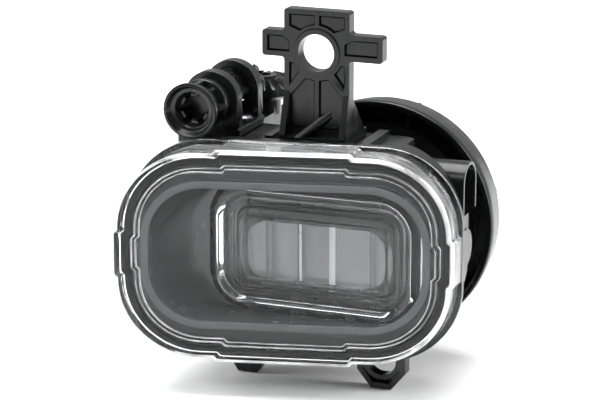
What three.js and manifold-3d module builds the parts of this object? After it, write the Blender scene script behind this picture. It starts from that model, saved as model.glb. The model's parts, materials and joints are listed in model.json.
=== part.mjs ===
// Motor-car fog light: a sealed housing with a clear swept front lens, an LED module that tilts
// inside it, and a hand-turned aim adjuster on the outside.
//
// Millimetres. +Z up, -Y forwards (the way the lamp shines), +X to the right of a person facing it.
// The origin is the centre of the upper mounting eye, in the plane that all three mounting
// points seat against: their rear faces lie in Y = 0.

import * as THREE from 'three';
import * as BufferGeometryUtils from 'three/addons/utils/BufferGeometryUtils.js';
import Module from 'manifold-3d';

const wasm = await Module();
wasm.setup();

// ---------------------------------------------------------------------------- driving sizes

const GAP = 0.3;                 // clearance left between pieces that touch
const FAR = 200;                 // longer than anything here, for cutting tools

// Mounting points
const MOUNT_THICK = 4.4;         // plate thickness of the bracket and the lugs
const EYE_BORE = 12.4;
const EYE_BOSS = 16.1;
const HEAD_WIDTH = 22.6;
const HEAD_RISE = 14;            // eye centre to the top edge
const ARM_LEFT = 19;
const ARM_RIGHT = 22.6;
const ARM_TOP = 6.6;
const ARM_BOTTOM = -2.1;
const PLATE_RIM = 2.2;           // width of the raised ribs on the mounting plates
const POCKET_DEPTH = 2.6;
const RAIL_FORWARD = 4.9;        // how far the bracket's side rails flare forwards at the foot
const LUG_DROP = 112.3;          // eye centre down to the lower lugs' flat ends
const LUG_LEFT_X = -24.8;
const LUG_RIGHT_X = 23;
const LUG_WIDTH = 16.9;
const LUG_BORE = 10.4;

// Front lens
const LENS_X = -2.7;
const LENS_Z = -63.5;
const LENS_FRONT = -29.4;        // Y of the lens face at its middle
const LENS_WIDTH = 108.4;
const LENS_HEIGHT = 71.6;
const LENS_CORNER = 26;
const LENS_SWEEP = 13.5;         // degrees that the face turns back towards +X
const JOINT_SWEEP = 9;           // and the joint behind its skirt
const LENS_BEND = 6;             // depth behind the face where the lean starts to ease
const LENS_PLATE = 2.4;
const LENS_WALL = 1.6;
const LENS_SKIRT = 11;           // depth of the skirt, front face to its foot
const LENS_FOOT = 2;             // thickness of the foot flange
const FOOT_GROW = 0.4;
const STEP_DEPTH = 1.2;          // the middle of each side stands this far out
const STEP_LONG = 21;            // half length of that stretch, on the long sides
const STEP_SHORT = 7;            // and on the short sides
const SEAL_WIDTH = 2.6;
const SEAL_HEIGHT = 1.6;

// Housing
const WALL = 2.2;
const HOUSING_TOP = -30.5;
const HOUSING_BOTTOM = -95.6;
const HOUSING_WIDTH = 97.6;
const HOUSING_CORNER = 24;
const HOUSING_BACK = 16;         // Y of the body's rear face
const DRUM_X = 8.5;
const DRUM_Z = -64.5;
const DRUM_RADIUS = 26.5;
const DRUM_BACK = 50;            // Y of the drum's rear edge
const SHROUD_RADIUS = 41.1;
const SHROUD_RIM = 31.6;         // Y of the shroud's open front edge
const SHROUD_WALL = 2.2;

// Aim adjuster
const SCREW_X = -36.6;
const SCREW_Z = -18.2;
const TRUMPET_RADIUS = 9.2;
const TRUMPET_FRONT = -24.4;
const EAR_RADIUS = 9.6;
const EAR_THICK = 4.3;
const EAR_FRONT = -6.4;          // front faces of the two ears
const EAR_REAR = 11.6;
const CRADLE_LEFT = -48.5;
const CRADLE_RIGHT = -26.4;
const FIN_RADIUS = 6.5;
const SHAFT_RADIUS = 3.2;
const JOURNAL_RADIUS = 5.2;
const GEAR_Y = 41.6;             // the crown gear's axis, where the two gears' cones meet
const GEAR_MODULE = 1.1;
const PINION_TEETH = 6;
const CROWN_TEETH = 18;
const GEAR_FACE = 4.2;           // length of the teeth along the cone
const SPINDLE_RADIUS = 2;
const NUT_Z = -42.5;               // the nut's middle at rest
const TOWER_RADIUS = 5.8;

// LED module and its tilt axis
const TILT_Y = 4.5;
const TILT_Z = -63.3;
const PIN_RADIUS = 2.5;
const OPTIC_X = 2.2;
const OPTIC_Z = -65;
const OPTIC_WIDTH = 71;
const OPTIC_HEIGHT = 42;
const OPTIC_FRONT = -14;
const OPTIC_DEPTH = 8;
const OPTIC_CORNER = 12;
const WINDOW_SIDE = 9.7;         // from the optic's left and right edges to its window
const WINDOW_END = 9.5;          // and from its top and bottom edges
const WINDOW_WIDTH = OPTIC_WIDTH - 2 * WINDOW_SIDE;
const WINDOW_HEIGHT = OPTIC_HEIGHT - 2 * WINDOW_END;
const MODULE_CLEAR = 2;          // room for the module to tilt inside the bezel

// Bezel
const BAND_WIDTH = 92;
const BAND_HEIGHT = 50;
const BAND_CORNER = 20;
const BAND_FACE = 2.6;           // width of the raised band
const BEZEL_WALL = 1.2;

// ---------------------------------------------------------------------------- finishes

const finish = (color, roughness, metalness = 0, opacity = 1) =>
  new THREE.MeshStandardMaterial({ color, roughness, metalness, opacity, transparent: opacity < 1 });

const BLACK_PLASTIC = finish(0x17181a, 0.45);
const GREY_PLASTIC = finish(0x4d4f52, 0.4);
const CLEAR_PLASTIC = finish(0xf4f6f8, 0.05, 0, 0.3);
const OPTIC_CLEAR = finish(0xdfe3e6, 0.05, 0, 0.45);
const RUBBER = finish(0x0d0d0e, 0.8);
const SILVERED = finish(0xd8dadc, 0.12, 1);
const ALUMINIUM = finish(0xa9acb0, 0.4, 1);
const STEEL = finish(0x8e9196, 0.3, 1);
const TINNED = finish(0xc9c3b2, 0.3, 1);
const BOARD_WHITE = finish(0xe9e9e4, 0.5);
const LED_YELLOW = finish(0xe8c43a, 0.4);
const PAD_GREY = finish(0x8f9aa5, 0.7);

// ---------------------------------------------------------------------------- solids

/** A manifold solid from flat lists of coordinates and triangle corners. */
function meshSolid(coordinates, corners) {
  const vertProperties = new Float32Array(coordinates);
  const triVerts = new Uint32Array(corners);
  return new wasm.Manifold(new wasm.Mesh({ numProp: 3, vertProperties, triVerts }));
}

/** A manifold solid from a closed three.js geometry. */
function solid(geometry) {
  geometry.deleteAttribute('normal');
  geometry.deleteAttribute('uv');
  const merged = BufferGeometryUtils.mergeVertices(geometry, 1e-5);
  return meshSolid(merged.attributes.position.array, merged.index.array);
}

/** A three.js geometry from a manifold solid. */
function geometryOf(body) {
  const { vertProperties, triVerts } = body.getMesh();
  const geometry = new THREE.BufferGeometry();
  geometry.setAttribute('position', new THREE.BufferAttribute(new Float32Array(vertProperties), 3));
  geometry.setIndex(new THREE.BufferAttribute(new Uint32Array(triVerts), 1));
  geometry.computeVertexNormals();
  return geometry;
}

const join = (...bodies) => bodies.reduce((whole, body) => whole.add(body));
const cut = (body, ...tools) => tools.reduce((rest, tool) => rest.subtract(tool), body);

/** A named mesh in one finish. */
function piece(name, body, material) {
  const mesh = new THREE.Mesh(geometryOf(body), material);
  mesh.name = name;
  return mesh;
}

/** A group at a place, holding the meshes given. */
function placed(x, y, z, ...meshes) {
  const group = new THREE.Group();
  group.position.set(x, y, z);
  group.add(...meshes);
  return group;
}

/** A box between two corners. */
function box([x0, y0, z0], [x1, y1, z1]) {
  const geometry = new THREE.BoxGeometry(x1 - x0, y1 - y0, z1 - z0);
  geometry.translate((x0 + x1) / 2, (y0 + y1) / 2, (z0 + z1) / 2);
  return solid(geometry);
}

/** An outline in X and Z, drawn out along Y from one depth to another. */
function prism(shape, y0, y1, curveSegments = 6) {
  const geometry = new THREE.ExtrudeGeometry(shape, { depth: y1 - y0, bevelEnabled: false, curveSegments });
  geometry.rotateX(Math.PI / 2);
  geometry.translate(0, y1, 0);
  return solid(geometry);
}

/** The same prism with a bevel on both ends, inside the outline and inside the two depths. */
function bevelled(shape, y0, y1, bevel, curveSegments = 6) {
  const geometry = new THREE.ExtrudeGeometry(shape, {
    depth: y1 - y0 - 2 * bevel, bevelThickness: bevel, bevelSize: bevel, bevelOffset: -bevel,
    bevelSegments: 1, curveSegments,
  });
  geometry.rotateX(Math.PI / 2);
  geometry.translate(0, y1 - bevel, 0);
  return solid(geometry);
}

/** A solid of revolution about an axis through the origin: profile pairs are [radius, along]. */
function turned(axis, profile, segments = 24) {
  const points = profile.map(([radius, along]) => new THREE.Vector2(radius, along));
  const geometry = new THREE.LatheGeometry(points, segments);
  if (axis === 'x') geometry.rotateZ(-Math.PI / 2);
  if (axis === 'z') geometry.rotateX(Math.PI / 2);
  return solid(geometry);
}

/** A plain rod or disc about an axis through the origin, between two places along it. */
function rod(axis, radius, from, to, segments = 24) {
  return turned(axis, [[0, from], [radius, from], [radius, to], [0, to]], segments);
}

/** A tube about an axis through the origin. */
function tube(axis, inner, outer, from, to, segments = 24) {
  return turned(axis, [[inner, from], [outer, from], [outer, to], [inner, to], [inner, from]], segments);
}

/** A round strut from one point to another. */
function strut(from, to, radius) {
  const [start, end] = [new THREE.Vector3(...from), new THREE.Vector3(...to)];
  const geometry = new THREE.CylinderGeometry(radius, radius, start.distanceTo(end), 16);
  const along = end.clone().sub(start).normalize();
  geometry.applyQuaternion(new THREE.Quaternion().setFromUnitVectors(new THREE.Vector3(0, 1, 0), along));
  geometry.translate(...start.add(end).multiplyScalar(0.5).toArray());
  return solid(geometry);
}

/** A solid with its points changed by a three.js geometry operation. */
function reshaped(body, change) {
  const geometry = geometryOf(body);
  change(geometry);
  return solid(geometry);
}

const moved = (body, x, y, z) => reshaped(body, (geometry) => geometry.translate(x, y, z));
const radians = THREE.MathUtils.degToRad;
const spunY = (body, degrees) => reshaped(body, (geometry) => geometry.rotateY(radians(degrees)));
const spunZ = (body, degrees) => reshaped(body, (geometry) => geometry.rotateZ(radians(degrees)));

/** A closed shape through the points given. */
function polygon(points) {
  return new THREE.Shape(points.map(([x, z]) => new THREE.Vector2(x, z)));
}

/** A rectangle with rounded corners, about a centre. */
function roundRect(x, z, width, height, radius) {
  const [left, right, bottom, top] = [x - width / 2, x + width / 2, z - height / 2, z + height / 2];
  const shape = new THREE.Shape();
  shape.moveTo(right, top - radius);
  shape.absarc(right - radius, top - radius, radius, 0, Math.PI / 2);
  shape.absarc(left + radius, top - radius, radius, Math.PI / 2, Math.PI);
  shape.absarc(left + radius, bottom + radius, radius, Math.PI, 1.5 * Math.PI);
  shape.absarc(right - radius, bottom + radius, radius, 1.5 * Math.PI, 2 * Math.PI);
  return shape;
}

/** The points of such a rectangle, the same number at every corner, for lofting. */
function roundRectLoop(x, z, width, height, radius, steps = 7) {
  const loop = [];
  for (let corner = 0; corner < 4; corner += 1) {
    const right = corner === 0 || corner === 3 ? 1 : -1;
    const up = corner < 2 ? 1 : -1;
    for (let step = 0; step <= steps; step += 1) {
      const angle = (corner + step / steps) * Math.PI / 2;
      loop.push([
        x + right * (width / 2 - radius) + radius * Math.cos(angle),
        z + up * (height / 2 - radius) + radius * Math.sin(angle),
      ]);
    }
  }
  return loop;
}

/** A closed ring skinned over loops of [x, y, z] points, the last loop joined to the first. */
function loftRing(loops) {
  const count = loops[0].length;
  const index = [];
  loops.forEach((_, row) => {
    const next = (row + 1) % loops.length;
    for (let i = 0; i < count; i += 1) {
      const j = (i + 1) % count;
      const [a, b, c, d] = [row * count + i, row * count + j, next * count + j, next * count + i];
      index.push(a, b, c, a, c, d);
    }
  });
  return meshSolid(loops.flat(2), index);
}

// ---------------------------------------------------------------------------- swept front

const SWEEP = Math.tan(radians(LENS_SWEEP));

/** Y of the lens face at a given X, plus a depth behind it. */
const faceY = (x, depth = 0) => LENS_FRONT + SWEEP * (x - LENS_X) + depth;

/** How much less the lens's skirt leans back than its face, at a depth behind the face. */
const easing = (depth) => (Math.tan(radians(JOINT_SWEEP)) - SWEEP)
  * Math.max(0, Math.min(depth, FLANGE_BACK) - LENS_BEND) / (FOOT_BACK - LENS_BEND);

/** A solid drawn with the lens face in Y = 0, swept back into its place. */
function swept(body) {
  return reshaped(body, ({ attributes: { position } }) => {
    for (let i = 0; i < position.count; i += 1) {
      const [x, depth] = [position.getX(i), position.getY(i)];
      position.setY(i, faceY(x, depth) + easing(depth) * (x - LENS_X));
    }
  });
}

/** The lens outline, grown or shrunk: each side's middle stands out between two 45 degree steps. */
function lensOutline(grow = 0) {
  const wide = LENS_WIDTH / 2 + grow;
  const high = LENS_HEIGHT / 2 + grow;
  const mitre = grow * Math.tan(Math.PI / 8);
  const [long, short, step] = [STEP_LONG + mitre, STEP_SHORT + mitre, STEP_DEPTH];
  const radius = Math.min(LENS_CORNER + grow, high - step - short - step);
  const shape = new THREE.Shape();
  const turn = (cornerX, cornerZ, start) => shape.absarc(
    LENS_X + cornerX * (wide - step - radius), LENS_Z + cornerZ * (high - step - radius),
    radius, start, start + Math.PI / 2);
  const go = (x, z) => shape.lineTo(LENS_X + x, LENS_Z + z);
  shape.moveTo(LENS_X + wide, LENS_Z - short);
  go(wide, short);
  go(wide - step, short + step);
  turn(1, 1, 0);
  go(long + step, high - step);
  go(long, high);
  go(-long, high);
  go(-long - step, high - step);
  turn(-1, 1, Math.PI / 2);
  go(step - wide, short + step);
  go(-wide, short);
  go(-wide, -short);
  go(step - wide, -short - step);
  turn(-1, -1, Math.PI);
  go(-long - step, step - high);
  go(-long, -high);
  go(long, -high);
  go(long + step, step - high);
  turn(1, -1, 1.5 * Math.PI);
  go(wide - step, -short - step);
  return shape;
}

/** The plain outline of the joint flanges, without the steps. */
const flangeOutline = (grow = 0) => roundRect(
  LENS_X, LENS_Z, LENS_WIDTH + 2 * grow, LENS_HEIGHT + 2 * grow, LENS_CORNER + grow);

const SEAL_OUTER = -(LENS_WALL + GAP);
const SEAL_INNER = SEAL_OUTER - SEAL_WIDTH;
const SEAL_FRONT = LENS_PLATE + GAP;
const RIM_FRONT = SEAL_FRONT + SEAL_HEIGHT + GAP;
const FOOT_BACK = LENS_SKIRT + LENS_FOOT;
const FLANGE_FRONT = FOOT_BACK + GAP;
const FLANGE_BACK = FLANGE_FRONT + 2.5;

function makeLens() {
  const plate = bevelled(lensOutline(), 0, LENS_PLATE + 1.6, 0.8);
  const skirt = prism(lensOutline(), LENS_PLATE, FOOT_BACK);
  const foot = prism(flangeOutline(FOOT_GROW), LENS_SKIRT, FOOT_BACK);
  const inside = prism(lensOutline(-LENS_WALL), LENS_PLATE, FAR);
  const rib = cut(
    prism(lensOutline(SEAL_INNER - 0.9), LENS_PLATE - 0.5, LENS_PLATE + 1.4),
    prism(lensOutline(SEAL_INNER - 2.1), 0, FAR));
  return piece('front_lens', cut(swept(join(cut(join(plate, skirt, foot), inside), rib)), trumpetRoom()), CLEAR_PLASTIC);
}

/** Room for the adjuster's flared end and collar, to cut from what they pass. */
function trumpetRoom() {
  return moved(rod('y', TRUMPET_RADIUS + GAP, -FAR, EAR_FRONT - GAP, 32), SCREW_X, 0, SCREW_Z);
}

function makeLensSeal() {
  const ring = cut(
    prism(lensOutline(SEAL_OUTER), SEAL_FRONT, SEAL_FRONT + SEAL_HEIGHT),
    prism(lensOutline(SEAL_INNER), 0, FAR));
  return piece('lens_seal', swept(ring), RUBBER);
}

// ---------------------------------------------------------------------------- bezel

const BEZEL_FRONT = RIM_FRONT + 0.4;
const BAND_FRONT = BEZEL_FRONT - 2;
const BOWL_BACK = OPTIC_FRONT + 3;

/** A rounded rectangle on the swept face, some depth behind it. */
function bandLoop(inset, depth) {
  return roundRectLoop(LENS_X, LENS_Z, BAND_WIDTH - 2 * inset, BAND_HEIGHT - 2 * inset, BAND_CORNER - inset)
    .map(([x, z]) => [x, faceY(x, depth), z]);
}

/** The opening round the optic, square to the lamp's axis. */
function openingLoop(grow, y) {
  const [width, height] = [OPTIC_WIDTH + 2 * (MODULE_CLEAR + grow), OPTIC_HEIGHT + 2 * (MODULE_CLEAR + grow)];
  return roundRectLoop(OPTIC_X, OPTIC_Z, width, height, OPTIC_CORNER + MODULE_CLEAR + grow)
    .map(([x, z]) => [x, y, z]);
}

/** A loop part of the way from one to the other: across by one share and back by another. */
function between(from, to, across, back) {
  return from.map(([x, y, z], i) => [
    x + (to[i][0] - x) * across, y + (to[i][1] - y) * back, z + (to[i][2] - z) * across]);
}

function makeBezel() {
  const flat = swept(cut(
    prism(lensOutline(SEAL_INNER - 0.4), BEZEL_FRONT, BEZEL_FRONT + 1.6),
    prism(roundRect(LENS_X, LENS_Z, BAND_WIDTH - 2, BAND_HEIGHT - 2, BAND_CORNER - 1), 0, FAR)));
  const face = bandLoop(BAND_FACE, BAND_FRONT);
  const behind = bandLoop(BAND_FACE - BEZEL_WALL, BEZEL_FRONT + 1.6);
  const mouth = openingLoop(0, BOWL_BACK);
  const mouthBack = openingLoop(BEZEL_WALL, BOWL_BACK);
  const quarter = [0.25, 0.5, 0.75].map((share) => share * Math.PI / 2);
  const bowl = quarter.map((angle) => between(face, mouth, 1 - Math.cos(angle), Math.sin(angle)));
  const bowlBack = quarter.map((angle) => between(behind, mouthBack, 1 - Math.cos(angle), Math.sin(angle)));
  const band = loftRing([
    bandLoop(0, BEZEL_FRONT + 1.6), bandLoop(0, BAND_FRONT), face, ...bowl, mouth,
    mouthBack, ...bowlBack.reverse(), behind]);
  return piece('bezel', join(flat, band), GREY_PLASTIC);
}

// ---------------------------------------------------------------------------- housing

const HOUSING_Z = (HOUSING_TOP + HOUSING_BOTTOM) / 2;
const HOUSING_LEFT = LENS_X - HOUSING_WIDTH / 2;
const HOUSING_RIGHT = LENS_X + HOUSING_WIDTH / 2;
const PIVOT_BOSS = 6.4;
const BOSS_PROUD = 2.9;
const HOOD_NOTCH = [27, 8, -54.6];         // the corner cut away behind the vent hood
const LEVER_TOP = NUT_Z + 2.8;
const TUNNEL_LEFT = -45.2;
const TUNNEL_RIGHT = -31.6;
const TUNNEL_TOP = -32.2;
const TUNNEL_BOTTOM = -52;
const TUNNEL_BACK = GEAR_Y + 8.6;
const TOWER_TOP = -28.4;
const SCREW_HOLE = 1.25;

/** The housing's body outline, shrunk by a wall. */
const bodyOutline = (inset) => roundRect(
  LENS_X, HOUSING_Z, HOUSING_WIDTH - 2 * inset, HOUSING_TOP - HOUSING_BOTTOM - 2 * inset,
  HOUSING_CORNER - inset);

/** The body, drum and lever tunnel, all shrunk by a wall. */
function housingMass(inset) {
  const behindFlange = swept(box([-FAR, FLANGE_FRONT + 0.5, -FAR], [FAR, FAR, FAR]));
  const body = cut(
    prism(bodyOutline(inset), -60, HOUSING_BACK - inset).intersect(behindFlange),
    box([HOOD_NOTCH[0] - inset, HOOD_NOTCH[1] - inset, HOOD_NOTCH[2] - inset], [FAR, FAR, FAR]));
  const drum = moved(
    rod('y', DRUM_RADIUS - inset, HOUSING_BACK - inset - 1, inset ? FAR : DRUM_BACK, 36), DRUM_X, 0, DRUM_Z);
  const tunnel = box(
    [TUNNEL_LEFT + inset, 10, TUNNEL_BOTTOM + inset], [TUNNEL_RIGHT - inset, TUNNEL_BACK - inset, TUNNEL_TOP - inset]);
  return join(body, drum, tunnel);
}

/** The block that carries the adjuster's cradle, over the body's rounded shoulder. */
function pedestal() {
  return box([CRADLE_LEFT, EAR_FRONT, HOUSING_TOP - HOUSING_CORNER / 2],
    [CRADLE_RIGHT, EAR_REAR + EAR_THICK, HOUSING_TOP]);
}

/** Blind bosses on the two side walls that hold the pivot pins. */
function pivotBosses() {
  const right = rod('x', PIVOT_BOSS, HOUSING_RIGHT - WALL - 0.5, HOUSING_RIGHT + BOSS_PROUD, 20);
  const left = rod('x', PIVOT_BOSS, HOUSING_LEFT - BOSS_PROUD, HOUSING_LEFT + WALL + 5, 20);
  return moved(join(right, left), 0, TILT_Y, TILT_Z);
}

function pivotBores() {
  const reach = BOSS_PROUD - 1.3;
  const right = rod('x', PIN_RADIUS + GAP, HOUSING_RIGHT - WALL - 2, HOUSING_RIGHT + reach, 14);
  const left = rod('x', PIN_RADIUS + GAP, HOUSING_LEFT - reach, HOUSING_LEFT + WALL + 6, 14);
  return moved(join(right, left), 0, TILT_Y, TILT_Z);
}

/** Low stiffening ribs along the top of the body, either side of the bracket. */
function topRibs() {
  return [[15, 3.6], [22.4, 4.2], [-17.6, 2.4]].map(([x, width]) => box(
    [x, -6, HOUSING_TOP - 5], [x + width, HOUSING_BACK - 1, HOUSING_TOP + (x > 20 ? -0.6 : 1.8)]));
}

function makeHousing() {
  const rim = swept(join(
    prism(lensOutline(SEAL_OUTER), RIM_FRONT, FLANGE_BACK),
    prism(flangeOutline(FOOT_GROW), FLANGE_FRONT, FLANGE_BACK)));
  const rimInside = swept(prism(lensOutline(SEAL_INNER), 0, FLANGE_FRONT + 0.6));
  const tower = moved(rod('z', TOWER_RADIUS, TUNNEL_TOP - 1, TOWER_TOP, 20), SCREW_X, GEAR_Y, 0);
  const towerBore = moved(
    join(
      rod('z', SPINDLE_RADIUS + GAP, TUNNEL_TOP - WALL - 1, FAR, 20),
      rod('z', SEAL_RING + GAP, SEAL_SEAT, FAR, 24)),
    SCREW_X, GEAR_Y, 0);
  const ventBore = moved(rod('x', VENT_STEM + GAP, HOOD_NOTCH[0] - 8, HOOD_NOTCH[0] + 8, 20), 0, VENT_Y, VENT_Z);
  const outside = join(rim, housingMass(0), pedestal(), tower, ...topRibs(), ...screwBosses());
  const inside = join(rimInside, housingMass(WALL), ventBore);
  const shell = join(cut(outside, inside), pivotBosses(), shroudSeat());
  return piece('housing', cut(shell, trumpetRoom(), pivotBores(), towerBore, ...screwHoles()), BLACK_PLASTIC);
}

// Screws that hold the outer pieces to the housing: place, and the way the thread points.
const BRACKET_FOOT = 2.5;
const STRAP_THICK = 2.2;
const CRADLE_BASE = 2.5;
const SCREW_DEPTH = 7;
const BRACKET_SCREWS = [[-5.2, 8.5], [5.2, 8.5]];
const STRAP_SCREWS = [[-12, 6], [8, 6]];
const CRADLE_SCREWS = [[-45.5, 6], [-29.5, 6]];

function screwBosses() {
  const down = [...BRACKET_SCREWS, ...CRADLE_SCREWS].map(([x, y]) => moved(
    rod('z', 3, HOUSING_TOP - SCREW_DEPTH - 2, HOUSING_TOP - 0.5, 10), x, y, 0));
  const up = STRAP_SCREWS.map(([x, y]) => moved(
    rod('z', 3, HOUSING_BOTTOM + 0.5, HOUSING_BOTTOM + SCREW_DEPTH + 2, 10), x, y, 0));
  return [...down, ...up];
}

function screwHoles() {
  const down = [...BRACKET_SCREWS, ...CRADLE_SCREWS].map(([x, y]) => moved(
    rod('z', SCREW_HOLE + GAP, HOUSING_TOP - SCREW_DEPTH, HOUSING_TOP + 9, 10), x, y, 0));
  const up = STRAP_SCREWS.map(([x, y]) => moved(
    rod('z', SCREW_HOLE + GAP, HOUSING_BOTTOM - 9, HOUSING_BOTTOM + SCREW_DEPTH, 10), x, y, 0));
  const shroud = shroudScrewPlaces().map(([x, z]) => moved(
    rod('y', SCREW_HOLE + GAP, SHROUD_FLOOR - 9, FAR, 10), x, 0, z));
  return [...down, ...up, ...shroud];
}

/** A pan-head screw with its head's underside at the origin and its thread down -Z. */
function panScrew(length) {
  return turned('z', [
    [0, -length], [SCREW_HOLE - 0.5, -length], [SCREW_HOLE, -length + 1], [SCREW_HOLE, 0],
    [2.7, 0], [2.7, 1.1], [1.9, 1.8], [0, 1.8]], 10);
}

function makeScrew(name, [x, y, z], tilt, length = SCREW_DEPTH) {
  const screw = placed(x, y, z, piece(name, panScrew(length), STEEL));
  screw.rotation.x = tilt;
  return screw;
}

// ---------------------------------------------------------------------------- mounting bracket

/** A closed pocket in a mounting plate's front face, from its outline. */
const pocket = (points) => prism(polygon(points), -FAR, POCKET_DEPTH - MOUNT_THICK);

/** The points of an arc about the eye, as a list. */
function eyeArc(radius, fromDegrees, toDegrees, steps = 5) {
  return Array.from({ length: steps + 1 }, (_, i) => {
    const angle = radians(fromDegrees + (toDegrees - fromDegrees) * i / steps);
    return [radius * Math.cos(angle), radius * Math.sin(angle)];
  });
}

function bracketPockets() {
  const half = HEAD_WIDTH / 2;
  const [rib, edge] = [PLATE_RIM / 2, half - PLATE_RIM];
  const boss = EYE_BOSS / 2 + 0.4;
  const top = HEAD_RISE - PLATE_RIM;
  const armTop = ARM_TOP - PLATE_RIM;
  const armBottom = ARM_BOTTOM + PLATE_RIM;
  const foot = HOUSING_TOP + GAP + BRACKET_FOOT + 3;
  const upper = (side) => pocket([
    [side * rib, top], [side * edge, top], [side * edge, ARM_TOP + 0.9],
    ...eyeArc(boss, side > 0 ? 46 : 134, side > 0 ? 80 : 100)]);
  const arm = (side, reach) => pocket([
    [side * (boss + 0.6), armBottom], [side * reach, armBottom], [side * reach, armTop],
    [side * (half + 0.8), armTop], [side * (boss + 0.6), armTop - 1.6]]);
  const beside = (side) => pocket([
    [side * edge, ARM_BOTTOM - 1.4], [side * edge, -12.4],
    ...eyeArc(boss, side > 0 ? -46 : -134, side > 0 ? -22 : -158, 3)]);
  const web = (side) => pocket([
    [side * rib, -boss - 1.2], [side * 4.4, -boss - 0.4], [side * edge, -15.8],
    [side * edge, foot], [side * rib, foot]]);
  return [-1, 1].flatMap((side) => [
    upper(side), arm(side, (side > 0 ? ARM_RIGHT : ARM_LEFT) - PLATE_RIM), beside(side), web(side)]);
}

/** A side rail that grows forwards towards the foot. */
function rail(side) {
  const seat = HOUSING_TOP + GAP;
  const outline = new THREE.Shape([[0, -13], [-MOUNT_THICK, -13], [-MOUNT_THICK - RAIL_FORWARD, seat + 3],
    [-MOUNT_THICK - RAIL_FORWARD, seat], [0, seat]].map(([y, z]) => new THREE.Vector2(y, z)));
  return sideways(outline, side > 0 ? HEAD_WIDTH / 2 - PLATE_RIM : -HEAD_WIDTH / 2, PLATE_RIM);
}

/** An outline in Y and Z, drawn out along +X from a place. */
function sideways(shape, x, width) {
  const geometry = new THREE.ExtrudeGeometry(shape, { depth: width, bevelEnabled: false, curveSegments: 6 });
  geometry.rotateX(Math.PI / 2);
  geometry.rotateZ(Math.PI / 2);
  geometry.translate(x, 0, 0);
  return solid(geometry);
}

function makeTopBracket() {
  const half = HEAD_WIDTH / 2;
  const seat = HOUSING_TOP + GAP;
  const soft = 1;
  const cross = polygon([
    [-half, seat], [half, seat], [half, ARM_BOTTOM], [ARM_RIGHT - soft, ARM_BOTTOM],
    [ARM_RIGHT, ARM_BOTTOM + soft], [ARM_RIGHT, ARM_TOP - soft], [ARM_RIGHT - soft, ARM_TOP],
    [half, ARM_TOP], [half, HEAD_RISE - soft], [half - soft, HEAD_RISE], [soft - half, HEAD_RISE],
    [-half, HEAD_RISE - soft], [-half, ARM_TOP], [soft - ARM_LEFT, ARM_TOP], [-ARM_LEFT, ARM_TOP - soft],
    [-ARM_LEFT, ARM_BOTTOM + soft], [soft - ARM_LEFT, ARM_BOTTOM], [-half, ARM_BOTTOM]]);
  const plate = cut(prism(cross, -MOUNT_THICK, 0), ...bracketPockets());
  const boss = rod('y', EYE_BOSS / 2, -MOUNT_THICK - 0.6, 0, 40);
  const foot = box([-half, -MOUNT_THICK - RAIL_FORWARD, seat], [half, 13, seat + BRACKET_FOOT]);
  const gusset = new THREE.Shape([[-1, -16], [0, -16], [12, seat + 1], [-1, seat + 1]]
    .map(([y, z]) => new THREE.Vector2(y, z)));
  const gussets = [-half, -1.1, half - PLATE_RIM].map((x) => sideways(gusset, x, PLATE_RIM));
  const brace = strut([-5.5, -7.8, seat + 1.4], [4.5, -2, -20.5], 1.7);
  const body = join(plate, boss, foot, rail(-1), rail(1), ...gussets, brace);
  const holes = BRACKET_SCREWS.map(([x, y]) => moved(rod('z', SCREW_HOLE + GAP, seat - 1, seat + 4, 10), x, y, 0));
  return piece('top_bracket', cut(body, rod('y', EYE_BORE / 2, -FAR, FAR, 40), ...holes), BLACK_PLASTIC);
}

// ---------------------------------------------------------------------------- lower lugs

/** A lug plate with 45 degree shoulders down to a short flat end. */
function lugPlate(x, width, endHalf, shoulder) {
  const half = width / 2;
  const bottom = -LUG_DROP;
  return polygon([
    [x - half, HOUSING_BOTTOM - GAP], [x - half, bottom + shoulder], [x - endHalf, bottom],
    [x + endHalf, bottom], [x + half, bottom + shoulder], [x + half, HOUSING_BOTTOM - GAP]]);
}

const LUG_BORE_Z = -LUG_DROP + 10;

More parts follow.
